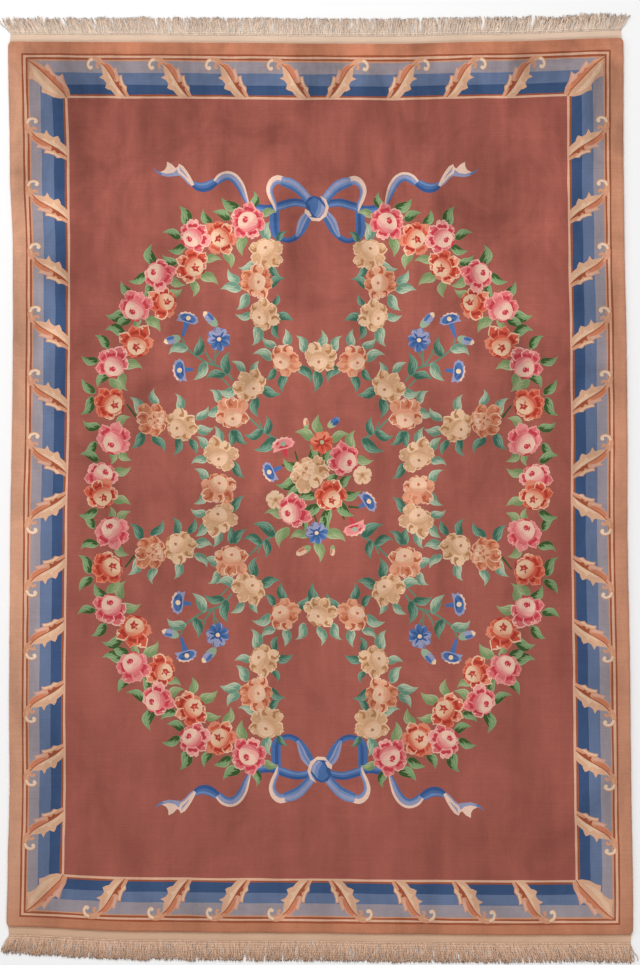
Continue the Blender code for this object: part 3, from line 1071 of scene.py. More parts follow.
# %% Ribbon bows
BOW = (
    # path, then strips across it: yarn, from, to
    # the long tail: its dip, and its climb to the roses
    (
        (
            (-124, 304.6, 2.6), (-118.5, 301, 4.2), (-111.5, 300.6, 4.9), (-105, 303.4, 4.5),
            (-98.5, 308, 3.0),
        ),
        (("ribbon", -1, 1), ("ribbon dark", -1, -0.25), ("ribbon soft", 0.35, 0.8)),
    ),
    (
        (
            (-100, 305.5, 3.6), (-95, 310.5, 4.4), (-88, 312.5, 4.6), (-81.5, 309.5, 4.6),
            (-76, 302, 4.2), (-72.5, 293, 3.2), (-69.5, 285, 1.6),
        ),
        (
            ("ribbon soft", -1, 1), ("ribbon lilac", -0.3, 0.3), ("ribbon ivory", 0.42, 1),
            ("ribbon", -1, -0.6),
        ),
    ),
    # the cross band, and the fall behind the roses
    (
        ((-62, 280.5, 3.8), (-48, 279, 4.0), (-36, 282.5, 4.2), (-22, 286, 4.0), (-6, 283, 3.4)),
        (("ribbon", -1, 1), ("ribbon dark", 0.3, 1), ("ribbon soft", -0.7, -0.2)),
    ),
    (
        ((-42.5, 277, 4.6), (-43, 266, 4.8), (-42, 254, 4.4), (-37, 249.4, 3.0)),
        (("ribbon", -1, 1), ("ribbon dark", -0.2, 0.5)),
    ),
    # the lower loop
    (
        ((-38, 249.5, 2.6), (-31, 247.5, 2.6), (-24, 249.5, 2.8), (-17.5, 255, 3.0)),
        (("ribbon", -1, 1), ("ribbon dark", -1, 0.0)),
    ),
    (
        ((-21, 251, 1.8), (-17, 258, 4.6), (-13, 267, 5.6), (-7.5, 275, 4.2)),
        (("ribbon lilac", -1, 1), ("ribbon", -1, -0.2), ("ribbon soft", 0.1, 0.5)),
    ),
    # the upper loop
    (
        (
            (-41, 277, 0.8), (-42.5, 284, 2.4), (-45.5, 291, 2.8), (-47, 298.5, 3.2), (-44, 305.5, 4.0),
            (-38.5, 308.8, 4.4), (-31.5, 307, 4.0),
        ),
        (("ribbon soft", -1, 1), ("ribbon ivory", -0.1, 1), ("ribbon lilac", -0.5, -0.1)),
    ),
    (
        ((-35, 307.4, 4.2), (-28, 305.6, 5.4), (-20.5, 301.8, 5.2), (-13.5, 295, 4.6), (-6, 286, 4.2)),
        (("ribbon soft", -1, 1), ("ribbon lilac", 0.0, 0.7), ("ribbon", -1, -0.45)),
    ),
)
TAIL_END = (
    # the end of the long tail is cut in two curled teeth
    ("ribbon ivory", (
        (-160.4, 316.9), (-155.8, 315.4), (-151.3, 317.8), (-149.3, 321.1), (-149.0, 326.0),
        (-144.3, 323.6), (-140.6, 319.6), (-138.4, 320.8), (-137.0, 324.0), (-132.8, 321.6),
        (-129.4, 317.2), (-126.2, 312.1), (-123.6, 307.0), (-122.0, 303.0), (-124.6, 301.6),
        (-128.8, 305.2), (-132.3, 309.6), (-136.3, 312.8), (-141.3, 312.2), (-148.7, 311.4),
        (-155.4, 313.3),
    )),
    ("ribbon lilac", (
        (-157.8, 315.8), (-148.8, 313.8), (-142.8, 315.0), (-139.0, 318.4), (-137.4, 314.2),
        (-133.0, 311.4), (-129.2, 307.2), (-124.8, 302.8), (-124.6, 301.2), (-128.8, 304.4),
        (-132.7, 308.8), (-136.5, 312.0), (-141.3, 311.4), (-148.7, 310.6), (-155.4, 312.5),
    )),
    ("ribbon lilac", (
        (-136.8, 322.2), (-134.2, 318.0), (-130.2, 313.2), (-127.8, 308.4), (-131.2, 312.6),
        (-135.8, 317.0),
    )),
    ("ribbon steel", (
        (-162.8, 319.6), (-158.3, 316.2), (-153.3, 314.0), (-155.4, 312.5), (-159.6, 315.2),
    )),
)
KNOT = (
    # the knot is on the middle line, and only half of it is mirrored
    ("ribbon dark", (
        (-12, 285), (-8, 291), (-2, 293), (4, 290), (8.5, 283), (8, 275), (3, 269), (-4, 270),
        (-9, 276),
    )),
    ("ribbon", ((-9, 286), (-3, 291), (2, 289), (1, 282), (-3, 273), (-6, 276), (-7, 282))),
    ("ribbon soft", ((2, 289), (5, 285), (4, 277), (0, 271), (-3, 273), (1, 281))),
    ("ribbon ivory", (
        (3, 293), (9.5, 289), (12, 281), (9, 272), (2, 267), (-5.5, 267.5), (-9, 272), (-4, 270.5),
        (2.5, 270.5), (7, 275.5), (9, 282), (7, 288),
    )),
    ("ribbon lilac", ((5, 285), (8.4, 281), (6.5, 275), (1.5, 271), (-1, 271.5), (3.4, 276))),
    ("ribbon ivory", ((-12, 279.5), (-8, 277.5), (-5.5, 272.5), (-8.4, 271.5), (-12.5, 275.5))),
)


def half_bow():
    shapes = []
    for path, strips in BOW:
        for yarn, low, high in strips:
            shapes.append((yarn, stroke(path, low, high)))
    return shapes + [(yarn, list(points)) for yarn, points in TAIL_END]


print("stretches of ribbon", len(BOW))

# %% [markdown]
# A quarter of the cartoon serves for all four: the weaver mirrors it along the rug and across
# it. Leaves and stems go under the roses. The same seed is used in each quarter, so that the
# quarters match petal for petal.

# %% The four quarters
QUARTER_SEED = 41


def quarter(lower):
    """The shapes of one quarter in squares of the upper left one."""
    chance = random.Random(QUARTER_SEED)
    shapes = half_bow()
    for yarn, path in STEMS:
        shapes.append((yarn, stroke(path)))
    for kind, rows in QUARTER_LEAVES:
        for row in rows:
            shapes += leaf(kind, *row, chance)
    shapes += drawn(BLUE_SPRAY, chance)
    for kind, x, y, fan, size, kind_below in ROSES:
        shapes += rose(kind_below if lower else kind, x, y, fan, size, chance)
    return shapes


for side_x in (1, -1):
    for side_y in (1, -1):
        lay(quarter(lower=side_y < 0), mirrored(side_x, side_y))
for side_y in (1, -1):
    lay([(yarn, list(points)) for yarn, points in KNOT], mirrored(side_y, side_y))
print("shapes so far", len(cartoon))

# %% [markdown]
# A few motifs lie on the lines between the quarters, and the bouquet in the middle is drawn
# whole. It is a loose bunch of four roses with trumpets, a star, small blossoms and buds round
# it, and dark leaves where the stems would meet.

# %% The bouquet and the motifs between the quarters
AXIS_ROSES = (
    # yarns, cup, fan, size
    ("cream", 0.0, 127, 60, 16.0),
    ("cream", 0.0, -127, 60, 16.0),
    ("peach", -99.5, 2, 270, 16.5),
    ("peach", 99.5, 2, 270, 16.5),
)
AXIS_LEAVES = (
    ("pale", 0, 140, 2, 157), ("pale", 0, -140, 2, -157), ("teal", -2, 116, -5, 95.5),
    ("teal", -2, -116, -5, -95.5),
)
BOUQUET_LEAVES = (
    ("inner", 0, 54, 0, 72), ("inner", -6.5, 49, -23.5, 54.5), ("inner", 13, 46.5, 30.5, 51.5),
    ("inner", 32.5, 38, 36.5, 56.5), ("inner", 37.5, 29.5, 54, 27.5), ("inner", -35.5, -29.5, -53, -27),
    ("inner", -30.5, -42, -38, -60), ("inner", -11, -48, -27.5, -52), ("inner", 8.5, -45.5, 26.5, -54),
    ("inner", -1.5, -55, 1.5, -74), ("outer", -8, 26, -10, 42), ("outer", 6, 20, 12.5, 37),
    ("outer", -18, 19, -35, 29), ("outer", -22, 9, -42, 3), ("outer", -14, -2, -31, -9),
    ("outer", 22, 1, 33, 11), ("outer", 22, -8, 41.5, -2.5), ("outer", 20, -16, 35.5, -27.5),
    ("outer", -3, -8, -20, -14.5), ("outer", 0, -18, -10.5, -36), ("outer", 10, -22, 12.5, -43),
    ("outer", 14, 22, 20, 40), ("outer", 18, 12, 10, 2), ("outer", -16, -32, -14, -44),
    ("outer", 6, -30, -2, -42),
)
BOUQUET_STEMS = (
    ("moss dark", ((-37, 22, 0.8), (-26, 19, 1.1))),
    ("moss dark", ((0, 35, 0.9), (2, 20, 1.2))),
    ("moss dark", ((41, -20, 0.8), (30, -19, 1.2))),
    ("moss dark", ((-24, 36, 0.8), (-21, 26, 1.0))),
    ("moss dark", ((26, -32, 0.8), (22, -22, 1.1))),
    ("moss dark", ((-1, -36, 0.8), (-6, -22, 1.0))),
)
PINK_TRUMPET = ("crimson", "pink rim", "pink blush", "crimson", "pink edge", "mist")
CORAL_STAR = ("coral rim", "coral", "brick", "spring light")
CREAM_BUD = ("peach edge", "peach", "cream edge", "spring")
BLOSSOM = ("cream edge", "cream rim", "cream", "cream shade")


DEEP_BUD = ("ribbon", "ribbon dark", "ribbon soft", "spring light")
BOUQUET_FLOWERS = (
    (trumpet, -35.5, 42, -32.5, 30, 12.0, PINK_TRUMPET), (trumpet, 36, -40.5, 32.5, -30, 12.0, PINK_TRUMPET),
    (trumpet, -48.5, 15, -37, 20, 11.0, BLUE_TRUMPET), (trumpet, 49.5, -14, 40.5, -19.5, 11.5, BLUE_TRUMPET),
    (bud, -12.5, 57.5, -13.5, 69.5, CREAM_BUD), (bud, 9, 60, 20.5, 69.5, DEEP_BUD),
    (bud, -7.5, -59, -22, -67.5, CREAM_BUD), (bud, 14.5, -57.5, 14, -68.5, CREAM_BUD),
    (star_flower, 43.5, 12.5, 9.5, 5, BLOSSOM), (star_flower, -42.5, -13, 9.5, 5, BLOSSOM),
    (star_flower, 3, 45, 11.5, 7, CORAL_STAR), (star_flower, -1.5, -45.5, 11.0, 8, BLUE_STAR),
    (rose, "pink", 27.7, 26, 150, 16.0), (rose, "pink", -27.5, -26, 40, 16.0),
)


def bouquet(chance):
    shapes = [(yarn, stroke(path)) for yarn, path in BOUQUET_STEMS]
    for row in BOUQUET_LEAVES:
        shapes += leaf(*row, chance)
    shapes += drawn(BOUQUET_FLOWERS, chance)
    # The open cream rose and the coral one lie on top
    shapes += rose("cream", -12, 17, -50, 18.5, chance, curled=True)
    return shapes + rose("coral", 13, -11.5, 110, 15.5, chance)


whole = mirrored(1, 1)
middle_chance = random.Random(7)
for row in AXIS_LEAVES:
    lay(leaf(*row, middle_chance), whole)
for kind, x, y, fan, size in AXIS_ROSES:
    lay(rose(kind, x, y, fan, size, middle_chance), whole)
lay(bouquet(middle_chance), whole)
print("shapes in the cartoon", len(cartoon), "points", sum(len(points) for yarn, points in cartoon))

# %% [markdown]
# Now the pile itself. A picture wrapped on a slab would be the quick way, but the real
# pattern is the material: each colour is its own yarn. So the surface is cut along every
# outline of the cartoon. A constrained Delaunay triangulation does that for the whole
# rug at once, and tells for each triangle which outlines hold it. The last one laid
# gives the yarn. The yarn's colour is kept on the mesh, where the material reads it. Two hanks
# of one dye never match, so each filled outline is a shade lighter or darker than the next.

# %% Cutting a surface along the cartoon
RIM_STEP = 0.024
GRID_STEP = 0.046
SHADE_SPREAD = 0.035
FRAME_OUTLINE_POINTS = 100
CORNER_STEPS = 5
SNAP = 0.00002
STRAIGHT = 0.00006
LONGEST_JOIN = 0.02


def rim_points(inset):
    """The rug's straight outline with round corners, drawn in by an inset."""
    reach_x = PILE_WIDTH / 2 - inset - CORNER_RADIUS
    reach_y = PILE_LENGTH / 2 - inset - CORNER_RADIUS
    across, along = round(2 * reach_x / RIM_STEP), round(2 * reach_y / RIM_STEP)
    points = []
    for corner_x, corner_y, start, step_x, step_y, count in (
        (reach_x, -reach_y, -90, 0, 1, along),
        (reach_x, reach_y, 0, -1, 0, across),
        (-reach_x, reach_y, 90, 0, -1, along),
        (-reach_x, -reach_y, 180, 1, 0, across),
    ):
        for n in range(CORNER_STEPS):
            turn = math.radians(start + 90 * n / CORNER_STEPS)
            points.append(
                (corner_x + CORNER_RADIUS * math.cos(turn), corner_y + CORNER_RADIUS * math.sin(turn))
            )
        turn = math.radians(start + 90)
        from_x, from_y = corner_x + CORNER_RADIUS * math.cos(turn), corner_y + CORNER_RADIUS * math.sin(turn)
        run = 2 * reach_y if step_y else 2 * reach_x
        for n in range(count):
            points.append((from_x + step_x * run * n / count, from_y + step_y * run * n / count))
    return points


def turns_left(points):
    area = sum(a[0] * b[1] - b[0] * a[1] for a, b in zip(points, points[1:] + points[:1]))
    return area > 0


def within(box, x, y):
    return box[0] < x < box[2] and box[1] < y < box[3]


def shown_lines(places, triangles, owners, rim):
    """The neighbours of each point along the lines between two owners, without those of straight runs."""
    sides = {}
    for triangle, owner in zip(triangles, owners):
        for a, b in zip(triangle, triangle[1:] + triangle[:1]):
            sides.setdefault((min(a, b), max(a, b)), []).append(owner)
    lines = {}
    for (a, b), held in sides.items():
        if len(held) == 1 or held[0] != held[1]:
            lines.setdefault(a, set()).add(b)
            lines.setdefault(b, set()).add(a)
    for point in list(lines):
        if point in rim or len(lines[point]) != 2:
            continue
        a, b = lines[point]
        run = places[b] - places[a]
        off = abs(run.cross(places[point] - places[a])) / max(run.length, SNAP)
        if off < STRAIGHT and run.length < LONGEST_JOIN and b not in lines[a]:
            lines[a].symmetric_difference_update((point, b))
            lines[b].symmetric_difference_update((point, a))
            del lines[point]
    return lines


def cut_surface(rim, shapes, seed):
    """Cuts the area inside a rim along all shapes, into points, triangles, their colours and the rim."""
    points, faces = list(rim), [list(range(len(rim)))]
    for yarn, outline in shapes:
        outline = outline if turns_left(outline) else outline[::-1]
        faces.append(list(range(len(points), len(points) + len(outline))))
        points += outline
    first = delaunay_2d_cdt([Vector(p) for p in points], [], faces, 1, SNAP, True)
    places, sources = first[0], first[3]
    triangles, holders = zip(*(pair for pair in zip(first[2], first[5]) if 0 in pair[1]))
    boxes = [(*map(min, zip(*outline)), *map(max, zip(*outline))) for yarn, outline in shapes]
    owners = []
    for triangle, held in zip(triangles, holders):
        x, y = (sum(places[n][axis] for n in triangle) / 3 for axis in (0, 1))
        owners.append(max((n for n in held if n and within(boxes[n - 1], x, y)), default=0))
    new_index = {old: n for n, olds in enumerate(sources) for old in olds}
    rim_now = {new_index[n] for n in range(len(rim))}
    lines = shown_lines(places, triangles, owners, rim_now)

    # The second cut has only the lines that show, and a loose grid that keeps its triangles even
    kept = sorted(lines)
    number = {old: n for n, old in enumerate(kept)}
    points = [places[old] for old in kept]
    reach_x, reach_y = PILE_WIDTH / 2 - GRID_STEP / 2, PILE_LENGTH / 2 - GRID_STEP / 2
    for n in range(round(2 * reach_x / GRID_STEP) + 1):
        for m in range(round(2 * reach_y / GRID_STEP) + 1):
            points.append(Vector((-reach_x + n * GRID_STEP, -reach_y + m * GRID_STEP)))
    edges = [(number[a], number[b]) for a in kept for b in lines[a] if a < b]
    again = delaunay_2d_cdt(points, edges, [], 1, SNAP, True)
    flat, cells = [(p.x, p.y) for p in again[0]], again[2]
    now = {old: n for n, olds in enumerate(again[3]) for old in olds}

    chance = random.Random(seed)
    shades = [None]
    for yarn, outline in shapes:
        own = SHADE_SPREAD if len(outline) < FRAME_OUTLINE_POINTS else 0.0
        shades.append(dyed(yarn) * (1 + chance.uniform(-own, own)))
    finder = BVHTree.FromPolygons([(p.x, p.y, 0) for p in places], triangles)
    colours = []
    for cell in cells:
        x, y = (sum(flat[n][axis] for n in cell) / 3 for axis in (0, 1))
        found = finder.ray_cast(Vector((x, y, 1)), Vector((0, 0, -1)))[2]
        owner = owners[found] if found is not None else 0
        colours.append(shades[owner] if owner else [tan_at(*flat[n]) for n in cell])
    return flat, cells, colours, [now[number[new_index[n]]] for n in range(len(rim))]


# %% [markdown]
# The cut surface becomes a closed body. Its rim rolls over and down to the base as cut
# pile does where nothing holds it upright, and its top rises and falls by half a
# millimetre, as wool does that has been walked on and brushed.

# %% The pile
PILE_TOP = 0.0140
PILE_FOOT = 0.0045
RIM_SECTION = (
    # inset, height: over the rim and down to the base
    (0.0082, 0.01385), (0.0056, 0.0134), (0.0034, 0.0126), (0.0017, 0.0114), (0.0006, 0.0098),
    (0.0000, 0.0080), (0.0004, 0.0062), (0.0020, PILE_FOOT),
)
TOP_INSET = 0.0110
WAVE_DEPTH = 0.0007
WAVE_SCALE = (5.5, 3.5)
FINE_WAVE_SCALE = (23, 17)
CALM_EDGE = 0.05
TUFT_WAVER = 0.0005


def pile_height(x, y):
    """The top of the pile: slow waves that die out towards the rim."""
    to_rim = min(PILE_WIDTH / 2 - abs(x), PILE_LENGTH / 2 - abs(y)) - TOP_INSET
    calm = max(0.0, min(1.0, to_rim / CALM_EDGE))
    wave = noise.noise(Vector((x * WAVE_SCALE[0], y * WAVE_SCALE[1], 0.3)))
    fine = noise.noise(Vector((x * FINE_WAVE_SCALE[0], y * FINE_WAVE_SCALE[1], 1.7)))
    return PILE_TOP - WAVE_DEPTH * calm * (0.6 + 0.5 * wave + 0.25 * fine)


def mesh_piece(name, places, faces, face_colours, finish):
    """A mesh with a colour of yarn on every face, or one on each of its corners."""
    mesh = bpy.data.meshes.new(name)
    mesh.from_pydata(places, [], faces)
    mesh.materials.append(finish)
    layer = mesh.color_attributes.new("yarn", "FLOAT_COLOR", "CORNER")
    corners = np.ones((len(mesh.loops), 4), dtype=np.float32)
    corners[:, :3] = np.concatenate(
        [np.broadcast_to(colour, (len(face), 3)) for face, colour in zip(faces, face_colours)]
    )
    layer.data.foreach_set("color", corners.ravel())
    mesh.shade_smooth()
    piece = bpy.data.objects.new(name, mesh)
    bpy.context.scene.collection.objects.link(piece)
    return piece


def body_of_pile(finish):
    flat, triangles, colours, rim = cut_surface(rim_points(TOP_INSET), cartoon, seed=13)
    edge_colours = [tan_at(x, y) for x, y in rim_points(0)]
    places = [(*pattern_lies(x, y), pile_height(x, y)) for x, y in flat]
    faces = [tuple(t) for t in triangles]
    chance = random.Random(3)
    for inset, height in RIM_SECTION:
        below = []
        for x, y in rim_points(inset):
            x += chance.uniform(-1, 1) * TUFT_WAVER
            y += chance.uniform(-1, 1) * TUFT_WAVER
            lie = as_it_lies(x, y)
            below.append(len(places))
            places.append((lie[0], lie[1], height))
        for n in range(len(rim)):
            after = (n + 1) % len(rim)
            faces.append((below[n], below[after], rim[after], rim[n]))
            colours.append([edge_colours[n], edge_colours[after], edge_colours[after], edge_colours[n]])
        rim = below
    faces.append(tuple(reversed(rim)))
    colours.append(dyed("tan left"))
    return mesh_piece("wool_pile", places, faces, colours, finish)


# %% [markdown]
# Cut wool scatters light in all directions and glows a little at a grazing angle, so it is rough
# with some sheen. Three patterns lie over the yarn colours: soft clouds of painted shade and sheen
# where the nap has been pushed one way or the other, with upright streaks of it where it was brushed;
# fine lines across the rug, row by row, because each row of knots takes its own hank; and the knots
# themselves as grain. The clouds are fainter towards the foot, and soft patches of painted light and
# shade lie over them.

# %% Wool
# how dark and how light the painted shade and sheen of the nap may get
PAINTED_NAP_SHADE = (0.66, 1.32)
PAINTED_SHADE_PATCHES = (
    # middle, reach across and along, how much lighter or darker the wool is painted there: painted light and
    # shade, partly its own uneven tone
    (0.04, 0.50, 0.92, 0.90, 0.26),
    (0.00, -0.42, 0.92, 0.95, 0.17),
    (-0.58, 0.80, 0.20, 0.32, 0.18),
    (-0.27, 0.72, 0.22, 0.42, 0.14),
    (-0.05, 0.72, 0.12, 0.42, -0.18),
    (-0.46, 1.08, 0.10, 0.22, -0.10),
    (-0.72, 1.10, 0.16, 0.20, -0.26),
    (0.42, 1.06, 0.16, 0.24, -0.14),
    (0.62, 0.68, 0.20, 0.34, 0.16),
    (0.05, 1.29, 0.16, 0.05, 0.12),
    (-0.62, 1.305, 0.12, 0.03, 0.14),
    (-0.80, -0.05, 0.13, 0.85, 0.17),
    (0.91, 0.00, 0.10, 0.85, 0.10),
)
# the painted shade and sheen of the nap is weaker towards the foot
PAINTED_SHADE_AT_FOOT = 0.55
PAINTED_SHADE_FADES = (-0.5, 1.1)
CLOUD_FINENESS = (5.2, 4.4, 1.0)
PAINTED_STREAK_FINENESS = (13.0, 2.0, 1.0)
CLOUD_SHARE = 0.6
TUFT_FINENESS = (295.0, 295.0, 180.0)
ROW_STREAK = (0.95, 1.05)
KNOT_GRAIN = (0.92, 1.08)
ROW_PITCH_SCALE = 230.0


def node(tree, kind, **inputs):
    """Adds a node. An input is given by its name, or as I and its number: a value, or a socket to link."""
    added = tree.nodes.new(kind)
    for name, value in inputs.items():
        if hasattr(added, name) and not name[0].isupper():
            setattr(added, name, value)
            continue
        by_number = name[0] == "I" and name[1:].isdigit()
        socket = added.inputs[int(name[1:]) if by_number else name.replace("_", " ")]
        if isinstance(value, bpy.types.NodeSocket):
            tree.links.new(value, socket)
        else:
            socket.default_value = value
    return added


def scaled_place(tree, scale):
    place = node(tree, "ShaderNodeTexCoord").outputs["Object"]
    return node(tree, "ShaderNodeMapping", Vector=place, Scale=scale).outputs["Vector"]


def spread(tree, value, low, high, dark, bright):
    """Maps a value between low and high to a factor between dark and bright."""
    return node(
        tree, "ShaderNodeMapRange", Value=value, From_Min=low, From_Max=high, To_Min=dark, To_Max=bright
    ).outputs["Result"]


def figure(tree, operation, *operands):
    operands = {f"I{n}": operand for n, operand in enumerate(operands)}
    return node(tree, "ShaderNodeMath", operation=operation, **operands).outputs["Value"]


def times(tree, a, b):
    return figure(tree, "MULTIPLY", a, b)


def speckle(tree, scale, detail, **more):
    """Noise over the rug where it lies, with how fine it is along each axis."""
    place = scaled_place(tree, scale)
    return node(tree, "ShaderNodeTexNoise", Vector=place, Scale=1.0, Detail=detail, **more).outputs["Fac"]


def yarn_colour(tree):
    return node(tree, "ShaderNodeAttribute", attribute_name="yarn").outputs["Color"]


def tint(tree, shader, colour, factor):
    tinted = node(tree, "ShaderNodeVectorMath", operation="SCALE", Vector=colour, Scale=factor)
    tree.links.new(tinted.outputs["Vector"], shader.inputs["Base Color"])


def roughen(tree, shader, height, strength, depth, invert=False):
    bump = node(tree, "ShaderNodeBump", Strength=strength, Distance=depth, Height=height)
    bump.invert = invert
    tree.links.new(bump.outputs["Normal"], shader.inputs["Normal"])


def cloth_finish(name, roughness):
    finish = bpy.data.materials.new(name)
    finish.use_nodes = True
    shader = finish.node_tree.nodes["Principled BSDF"]
    shader.inputs["Roughness"].default_value = roughness
    shader.inputs["Specular IOR Level"].default_value = 0.06
    return finish, finish.node_tree, shader


def wool():
    finish, tree, shader = cloth_finish("pile wool", 0.92)
    shader.inputs["Sheen Weight"].default_value = 0.06
    shader.inputs["Sheen Roughness"].default_value = 0.5
    # clouds and streaks of painted shade and sheen, where the nap lies one way or another
    clouds = speckle(tree, CLOUD_FINENESS, 5.0, Roughness=0.6, Distortion=0.6)
    brushed = speckle(tree, PAINTED_STREAK_FINENESS, 4.0, Roughness=0.6)
    nap = figure(tree, "MULTIPLY_ADD", clouds, CLOUD_SHARE, times(tree, brushed, 1 - CLOUD_SHARE))
    factor = spread(tree, nap, 0.36, 0.64, *PAINTED_NAP_SHADE)
    place = node(tree, "ShaderNodeTexCoord").outputs["Object"]
    along = node(tree, "ShaderNodeSeparateXYZ", Vector=place).outputs["Y"]
    strength = spread(tree, along, *PAINTED_SHADE_FADES, PAINTED_SHADE_AT_FOOT, 1.0)
    off = figure(tree, "SUBTRACT", factor, 1.0)
    factor = figure(tree, "ADD", times(tree, off, strength), 1.0)
    # soft patches of painted light and shade, partly the wool's own uneven tone
    for x, y, across, reach, lighter in PAINTED_SHADE_PATCHES:
        away = node(
            tree, "ShaderNodeMapping", Vector=place, Location=(-x / across, -y / reach, 0),
            Scale=(1 / across, 1 / reach, 0),
        ).outputs["Vector"]
        far = node(tree, "ShaderNodeVectorMath", operation="LENGTH", Vector=away).outputs["Value"]
        patch = node(
            tree, "ShaderNodeMapRange", interpolation_type="SMOOTHSTEP", Value=far, From_Min=0.0,
            From_Max=1.0, To_Min=1 + lighter, To_Max=1.0,
        ).outputs["Result"]
        factor = times(tree, factor, patch)
    rows = speckle(tree, (5.0, ROW_PITCH_SCALE, 1.0), 3.0, Roughness=0.7)
    factor = times(tree, factor, spread(tree, rows, 0.3, 0.7, *ROW_STREAK))
    grain = speckle(tree, (300.0, 300.0, 300.0), 2.0)
    factor = times(tree, factor, spread(tree, grain, 0.3, 0.7, *KNOT_GRAIN))
    tint(tree, shader, yarn_colour(tree), factor)
    tufts = node(tree, "ShaderNodeTexVoronoi", Vector=scaled_place(tree, TUFT_FINENESS), Scale=1.0)
    roughen(tree, shader, tufts.outputs["Distance"], 0.35, 0.0008, invert=True)
    return finish


wool_pile = body_of_pile(wool())
print("pile", len(wool_pile.data.polygons), "faces")

# %% [markdown]
# Turned over, a hand-knotted rug shows its pattern again, knot by knot and without the pile.
# Wefts run across between the rows, so the back is ribbed. The base is its own closed piece
# below the pile: the same cartoon cuts its underside, with the small flames and veins left out.

# %% The woven base
BASE_TOP = 0.0042
BASE_GAP = 0.0003
SMALLEST_ON_BACK = 0.00013
KNOT_PITCH = 0.0034
BASE_SHARP_DEG = 40


def area_of(points):
    return abs(sum(a[0] * b[1] - b[0] * a[1] for a, b in zip(points, points[1:] + points[:1]))) / 2


def ribbed(tree, shader, across, along, strength, depth):
    """Bumps in rows, from the product of two sines of the place, with their pitches in metres."""
    place = node(tree, "ShaderNodeTexCoord").outputs["Object"]
    parts = node(tree, "ShaderNodeSeparateXYZ", Vector=place)
    waves = []
    for axis, pitch in (("X", across), ("Y", along)):
        turns = times(tree, parts.outputs[axis], math.pi / pitch)
        waves.append(figure(tree, "ABSOLUTE", figure(tree, "SINE", turns)))
    height = times(tree, *waves)
    roughen(tree, shader, height, strength, depth)
    return height


def knotted_back():
    finish, tree, shader = cloth_finish("knotted back", 0.95)
    # the colour darkens where the bumps are low: painted shade in the hollows between the knots
    knots = spread(tree, ribbed(tree, shader, KNOT_PITCH, KNOT_PITCH, 0.6, 0.0006), 0.0, 0.6, 0.72, 1.06)
    patches = spread(tree, speckle(tree, (3.0, 30.0, 1.0), 3.0), 0.3, 0.7, 0.93, 1.07)
    tint(tree, shader, yarn_colour(tree), times(tree, knots, patches))
    return finish


def body_of_base(finish):
    large = [(yarn, outline) for yarn, outline in cartoon if area_of(outline) > SMALLEST_ON_BACK]
    flat, triangles, colours, rim = cut_surface(rim_points(BASE_INSET + BASE_GAP), large, seed=13)
    places = [(*pattern_lies(x, y), 0.0) for x, y in flat]
    faces = [tuple(reversed(t)) for t in triangles]
    top = list(range(len(places), len(places) + len(rim)))
    places += [(places[n][0], places[n][1], BASE_TOP) for n in rim]
    for n in range(len(rim)):
        after = (n + 1) % len(rim)
        faces.append((rim[n], rim[after], top[after], top[n]))
        colours.append(tan_at(*flat[rim[n]]))
    faces.append(tuple(top))
    colours.append(dyed("tan left"))
    piece = mesh_piece("woven_base", places, faces, colours, finish)
    piece.data.set_sharp_from_angle(angle=math.radians(BASE_SHARP_DEG))
    return piece


woven_base = body_of_base(knotted_back())
print("base", len(woven_base.data.polygons), "faces")

# %% [markdown]
# At each end the warps leave the pile and are woven for two or three centimetres with plain
# cotton. It keeps the last row of knots from slipping. The band is modelled as plain weave:
# every warp is a small rib, and its neighbours go over and under at every other weft.

# %% The flat-woven bands
BAND_DEPTH = 0.026
BAND_INSET = 0.004
BAND_TAPER = 0.003
BAND_HEIGHT = ((0.00, 0.0036), (0.14, 0.0038), (0.42, 0.0048), (0.75, 0.0043), (1.00, 0.0030))
PART_GAP = 0.0003
COLUMNS_PER_WARP = 4
WEFT_ROWS = 26
WEAVE_DEPTH = 0.00024
BAND_COTTON = {1: (226, 198, 174), -1: (210, 174, 146)}
BAND_COTTON_SPREAD = 0.06
BAND_SHARP_DEG = 60


def base_line(end, x):
    """The edge of the woven base along one end, head (1) or foot (-1), at any place across."""
    y = end * (PILE_LENGTH / 2 - BASE_INSET)
    shift = as_it_lies(x, y)[0] - x
    return as_it_lies(x - shift, y)[1]


def reach_of_side(end, side):
    """Where the pile stops at one side of an end, left (-1) or right (1)."""
    return as_it_lies(side * PILE_WIDTH / 2, end * PILE_LENGTH / 2)[0]


